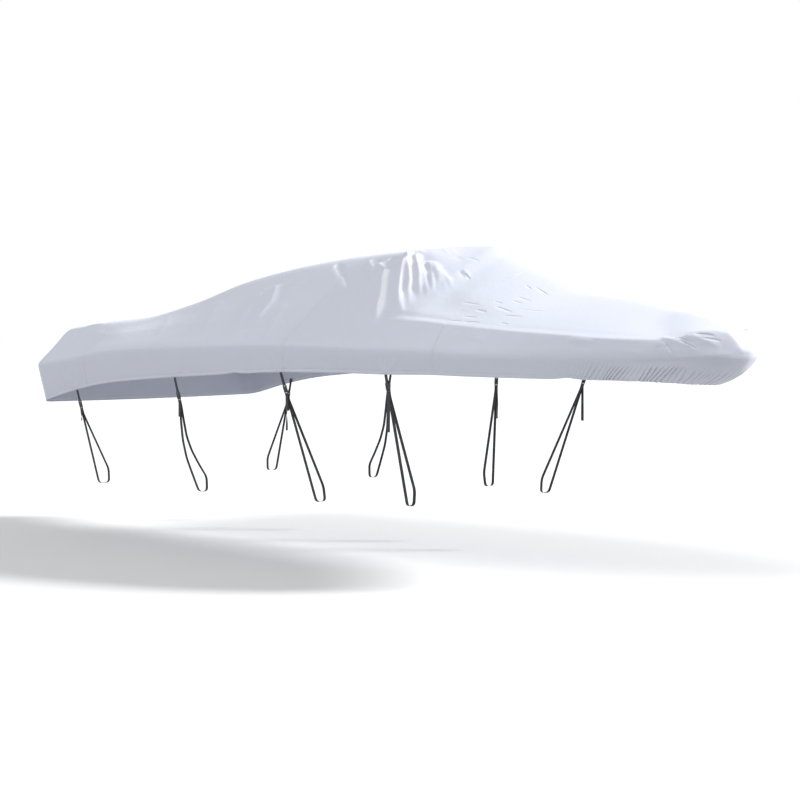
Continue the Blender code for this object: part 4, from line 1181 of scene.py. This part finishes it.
# %% [markdown]
# ### Webbing as a surface
# A route of straight runs becomes a smooth one when each corner is replaced by
# a curve with two straight arms.  A thin rounded section is then carried along
# it.  The section's edges are thinner than its middle, as a selvedge is.

# %% Webbing surface
CORNER_POINTS = 7
BEND = 0.030
STEP = 0.012
SECTION = np.array((            # share of the half width, share of the half thickness
    (-1.00, 0.00), (-0.975, 0.75), (-0.90, 1.00), (0.90, 1.00), (0.975, 0.75),
    (1.00, 0.00), (0.975, -0.75), (0.90, -1.00), (-0.90, -1.00), (-0.975, -0.75),
))


def rounded_route(points):
    """Replaces each corner P by (1-t)^2 A + 2t(1-t) P + t^2 B, with A and B on its two arms."""
    way = np.diff(points[:, :3], axis=0)
    length = np.linalg.norm(way, axis=1)
    arm = np.minimum(BEND, 0.45 * np.minimum(length[:-1], length[1:]))
    share_in, share_out = (arm / length[:-1])[:, None, None], (arm / length[1:])[:, None, None]
    corner = points[1:-1, None]
    before = corner + (points[:-2, None] - corner) * share_in
    after = corner + (points[2:, None] - corner) * share_out
    t = np.linspace(0.0, 1.0, CORNER_POINTS)[None, :, None]
    curves = (1.0 - t) ** 2 * before + 2.0 * t * (1.0 - t) * corner + t ** 2 * after
    smooth = np.concatenate([points[:1], curves.reshape(-1, points.shape[1]), points[-1:]])
    at = np.concatenate([[0.0], np.cumsum(np.linalg.norm(np.diff(smooth[:, :3], axis=0), axis=1))])
    keep = np.concatenate([[True], np.diff(at) > 1e-7])
    at, smooth = at[keep], smooth[keep]
    wanted = np.unique(np.concatenate([at, np.arange(0.0, at[-1], STEP)]))
    wanted = wanted[np.concatenate([[True], np.diff(wanted) > 0.0003])]
    return np.stack([np.interp(wanted, at, smooth[:, i]) for i in range(smooth.shape[1])], 1), wanted


def webbing_mesh(name, route, start, across, down, out, flip):
    """Route columns are down, out, drift and turn.  The section stands square to the route."""
    drift, turn = route[:, 2:3], np.radians(route[:, 3:4])
    space = start + route[:, :1] * down + route[:, 1:2] * out + drift * across
    smooth, at = rounded_route(np.concatenate([space, turn], 1))
    centre, turn = smooth[:, :3], smooth[:, 3:4]
    tangent = unit(np.gradient(centre, axis=0))
    flat_across = unit(across - (tangent @ across)[:, None] * tangent)
    face = np.cross(tangent, flat_across)
    wide = flat_across * np.cos(turn) + face * np.sin(turn)
    thick = np.cross(tangent, wide)
    grid = (
        centre[:, None]
        + wide[:, None] * SECTION[None, :, :1] * WEBBING_WIDTH / 2.0
        + thick[:, None] * SECTION[None, :, 1:] * WEBBING / 2.0
    )
    grid = grid * (1.0, flip, 1.0)
    count, sides = grid.shape[:2]
    index = np.arange(count * sides).reshape(count, sides)
    ahead = np.roll(index, -1, 1)
    quads = np.stack([index[:-1], index[1:], ahead[1:], ahead[:-1]], -1).reshape(-1, 4)
    faces = quads.tolist() + [index[0].tolist(), index[-1, ::-1].tolist()]
    mesh = bpy.data.meshes.new(name)
    mesh.from_pydata(grid.reshape(-1, 3), [], faces)
    layer = mesh.uv_layers.new(name="webbing")
    map_across = np.abs(np.arange(sides + 1) - sides / 2.0) * WEBBING_WIDTH / (sides / 2.0)
    u, v = np.repeat(at[:, None], sides, 1), np.repeat(map_across[None, :-1], count, 0)
    place = np.stack([u, v], -1).reshape(-1, 2)[np.concatenate(faces).astype(int)]
    layer.data.foreach_set("uv", place.ravel().astype(np.float32))
    shape = bmesh.new()
    shape.from_mesh(mesh)
    bmesh.ops.recalc_face_normals(shape, faces=shape.faces)
    shape.to_mesh(mesh)
    shape.free()
    mesh.shade_smooth()
    mesh.set_sharp_from_angle(angle=math.radians(40.0))
    return mesh, float(at[-1])


print("a webbing section has", len(SECTION), "corners")


# %% Box stitching
BOX_LENGTH, BOX_WIDTH, BOX_PITCH = 0.015, 0.018, 0.0030


def box_stitches(centre, across, down, up):
    """A rectangle with both its diagonals, sewn through the webbing at a folded end."""
    corners = np.array(((-1, -1), (1, -1), (1, 1), (-1, 1), (-1, -1), (1, 1), (1, -1), (-1, 1)), float)
    corners = corners * (BOX_WIDTH / 2.0, BOX_LENGTH / 2.0)
    points = centre + corners[:, :1] * across + corners[:, 1:] * down
    place, way = evenly(points, BOX_PITCH)
    return place, way, np.repeat(up[None], len(place), 0)


STRAP_STITCH = (0.0022, 0.0007)

# %% All straps
strap_lengths = {}
for row in STRAPS:
    strap = dict(zip(STRAP_COLUMNS, row))
    start, across, down, out, upward = strap_axes(strap)
    tab = tab_route(strap, down, out, upward)
    tie = tie_route(strap, start, down, out)
    tail = np.column_stack(tail_rows(strap, tie[-1], across, down, out))
    tab, tie = (np.concatenate([route, np.zeros((len(route), 2))], 1) for route in (tab, tie))
    tie = np.concatenate([tie, tail])
    half, sewn_middle = WEBBING + GAP / 2.0, 0.5 * (SEWN_RETURN + LEG_CLOSES)
    tab_box, tie_box = strap["tab"] - sewn_middle, strap["tab"] + LOWER_BAR + sewn_middle
    boxes = [
        box_stitches(start + at * down + face * half * out, across, down, face * out)
        for at, face in ((tab_box, 1.0), (tab_box, -1.0), (tie_box, -1.0))
    ]
    for side, flip in (("starboard", 1.0), ("port", -1.0)):
        mirror = np.array((1.0, flip, 1.0))
        tag = f"{side}_{strap['name']}"
        rows = [[part * mirror for part in box] for box in boxes]
        mesh = stitch_mesh(f"strap_stitches_{tag}", *join_rows(rows), *STRAP_STITCH)
        stitches = add_piece(mesh.name, mesh, STRAP_THREAD)
        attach(stitches, "root")
        for kind, route, node, rests in (
            ("tab_webbing", tab, "hem_tab", "buckle_socket"),
            ("tie_webbing", tie, "tie_strap", "buckle_plug"),
        ):
            mesh, length = webbing_mesh(f"{kind}_{tag}", route, start, across, down, out, flip)
            piece = add_piece(mesh.name, mesh, WEBBING_FINISH)
            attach(piece, "root")
            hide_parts(f"{node}_{tag}")
            strap_lengths[piece.name] = round(length, 3)
print(strap_lengths)

# %% [markdown]
# ## Buckles
# The buckles' solids have the right shape, so they stay and only get the
# moulded finish.

# %% Finish of the buckles
for name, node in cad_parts.items():
    if name.startswith("buckle_"):
        node.data.materials.clear()
        node.data.materials.append(BUCKLE_FINISH)
print(sum(name.startswith("buckle_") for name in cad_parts), "buckle halves finished")

# %% [markdown]
# ## Studio
# A plain pale floor at the height that the cover is worn above, and soft light:
# a broad key from above the bow, a fill from the camera's side, and a pale
# surround.

# %% Floor
FLOOR_Z, FLOOR_RADIUS = -2.166, 90.0
floor_mesh = bpy.data.meshes.new("floor")
shape = bmesh.new()
bmesh.ops.create_circle(shape, cap_ends=True, segments=96, radius=FLOOR_RADIUS)
bmesh.ops.translate(shape, verts=shape.verts, vec=(0.0, 0.0, FLOOR_Z))
shape.to_mesh(floor_mesh)
shape.free()
floor_finish = start_material(
    "studio_floor", Base_Color=(0.60, 0.60, 0.60, 1.0), Roughness=0.9, Specular_IOR_Level=0.1,
)[0]
floor = add_piece("floor", floor_mesh, floor_finish)

# %% Light
SURROUND_LIGHT, SURROUND_SEEN = 0.63, 1.0
world = bpy.data.worlds.new("surround")
world.use_nodes = True
studio = Tree(world.node_tree)
lighting = world.node_tree.nodes["Background"]
lighting.inputs["Color"].default_value = (0.96, 0.98, 1.00, 1.0)
lighting.inputs["Strength"].default_value = SURROUND_LIGHT
seen = studio.add("ShaderNodeBackground", {"Color": (1.0, 1.0, 1.0, 1.0), "Strength": SURROUND_SEEN})
share = studio.add("ShaderNodeLightPath").outputs["Is Camera Ray"]
both = studio.add("ShaderNodeMixShader", {0: share, 1: lighting.outputs[0], 2: seen.outputs[0]})
studio.put(world.node_tree.nodes["World Output"].inputs["Surface"], both.outputs[0])
bpy.context.scene.world = world
bpy.context.scene.view_settings.view_transform = "Standard"


def add_sun(name, towards, strength, softness):
    """A distant light that shines along towards; softness is its width in degrees."""
    data = bpy.data.lights.new(name, "SUN")
    data.energy = strength
    data.angle = math.radians(softness)
    lamp = bpy.data.objects.new(name, data)
    lamp.rotation_euler = Vector(towards).to_track_quat("-Z", "Y").to_euler()
    bpy.context.scene.collection.objects.link(lamp)


add_sun("key", (-0.56, -0.66, -0.50), 5.9, 10.0)
add_sun("fill", (0.17, 0.47, -0.87), 1.35, 40.0)
print("floor at", FLOOR_Z, "m")
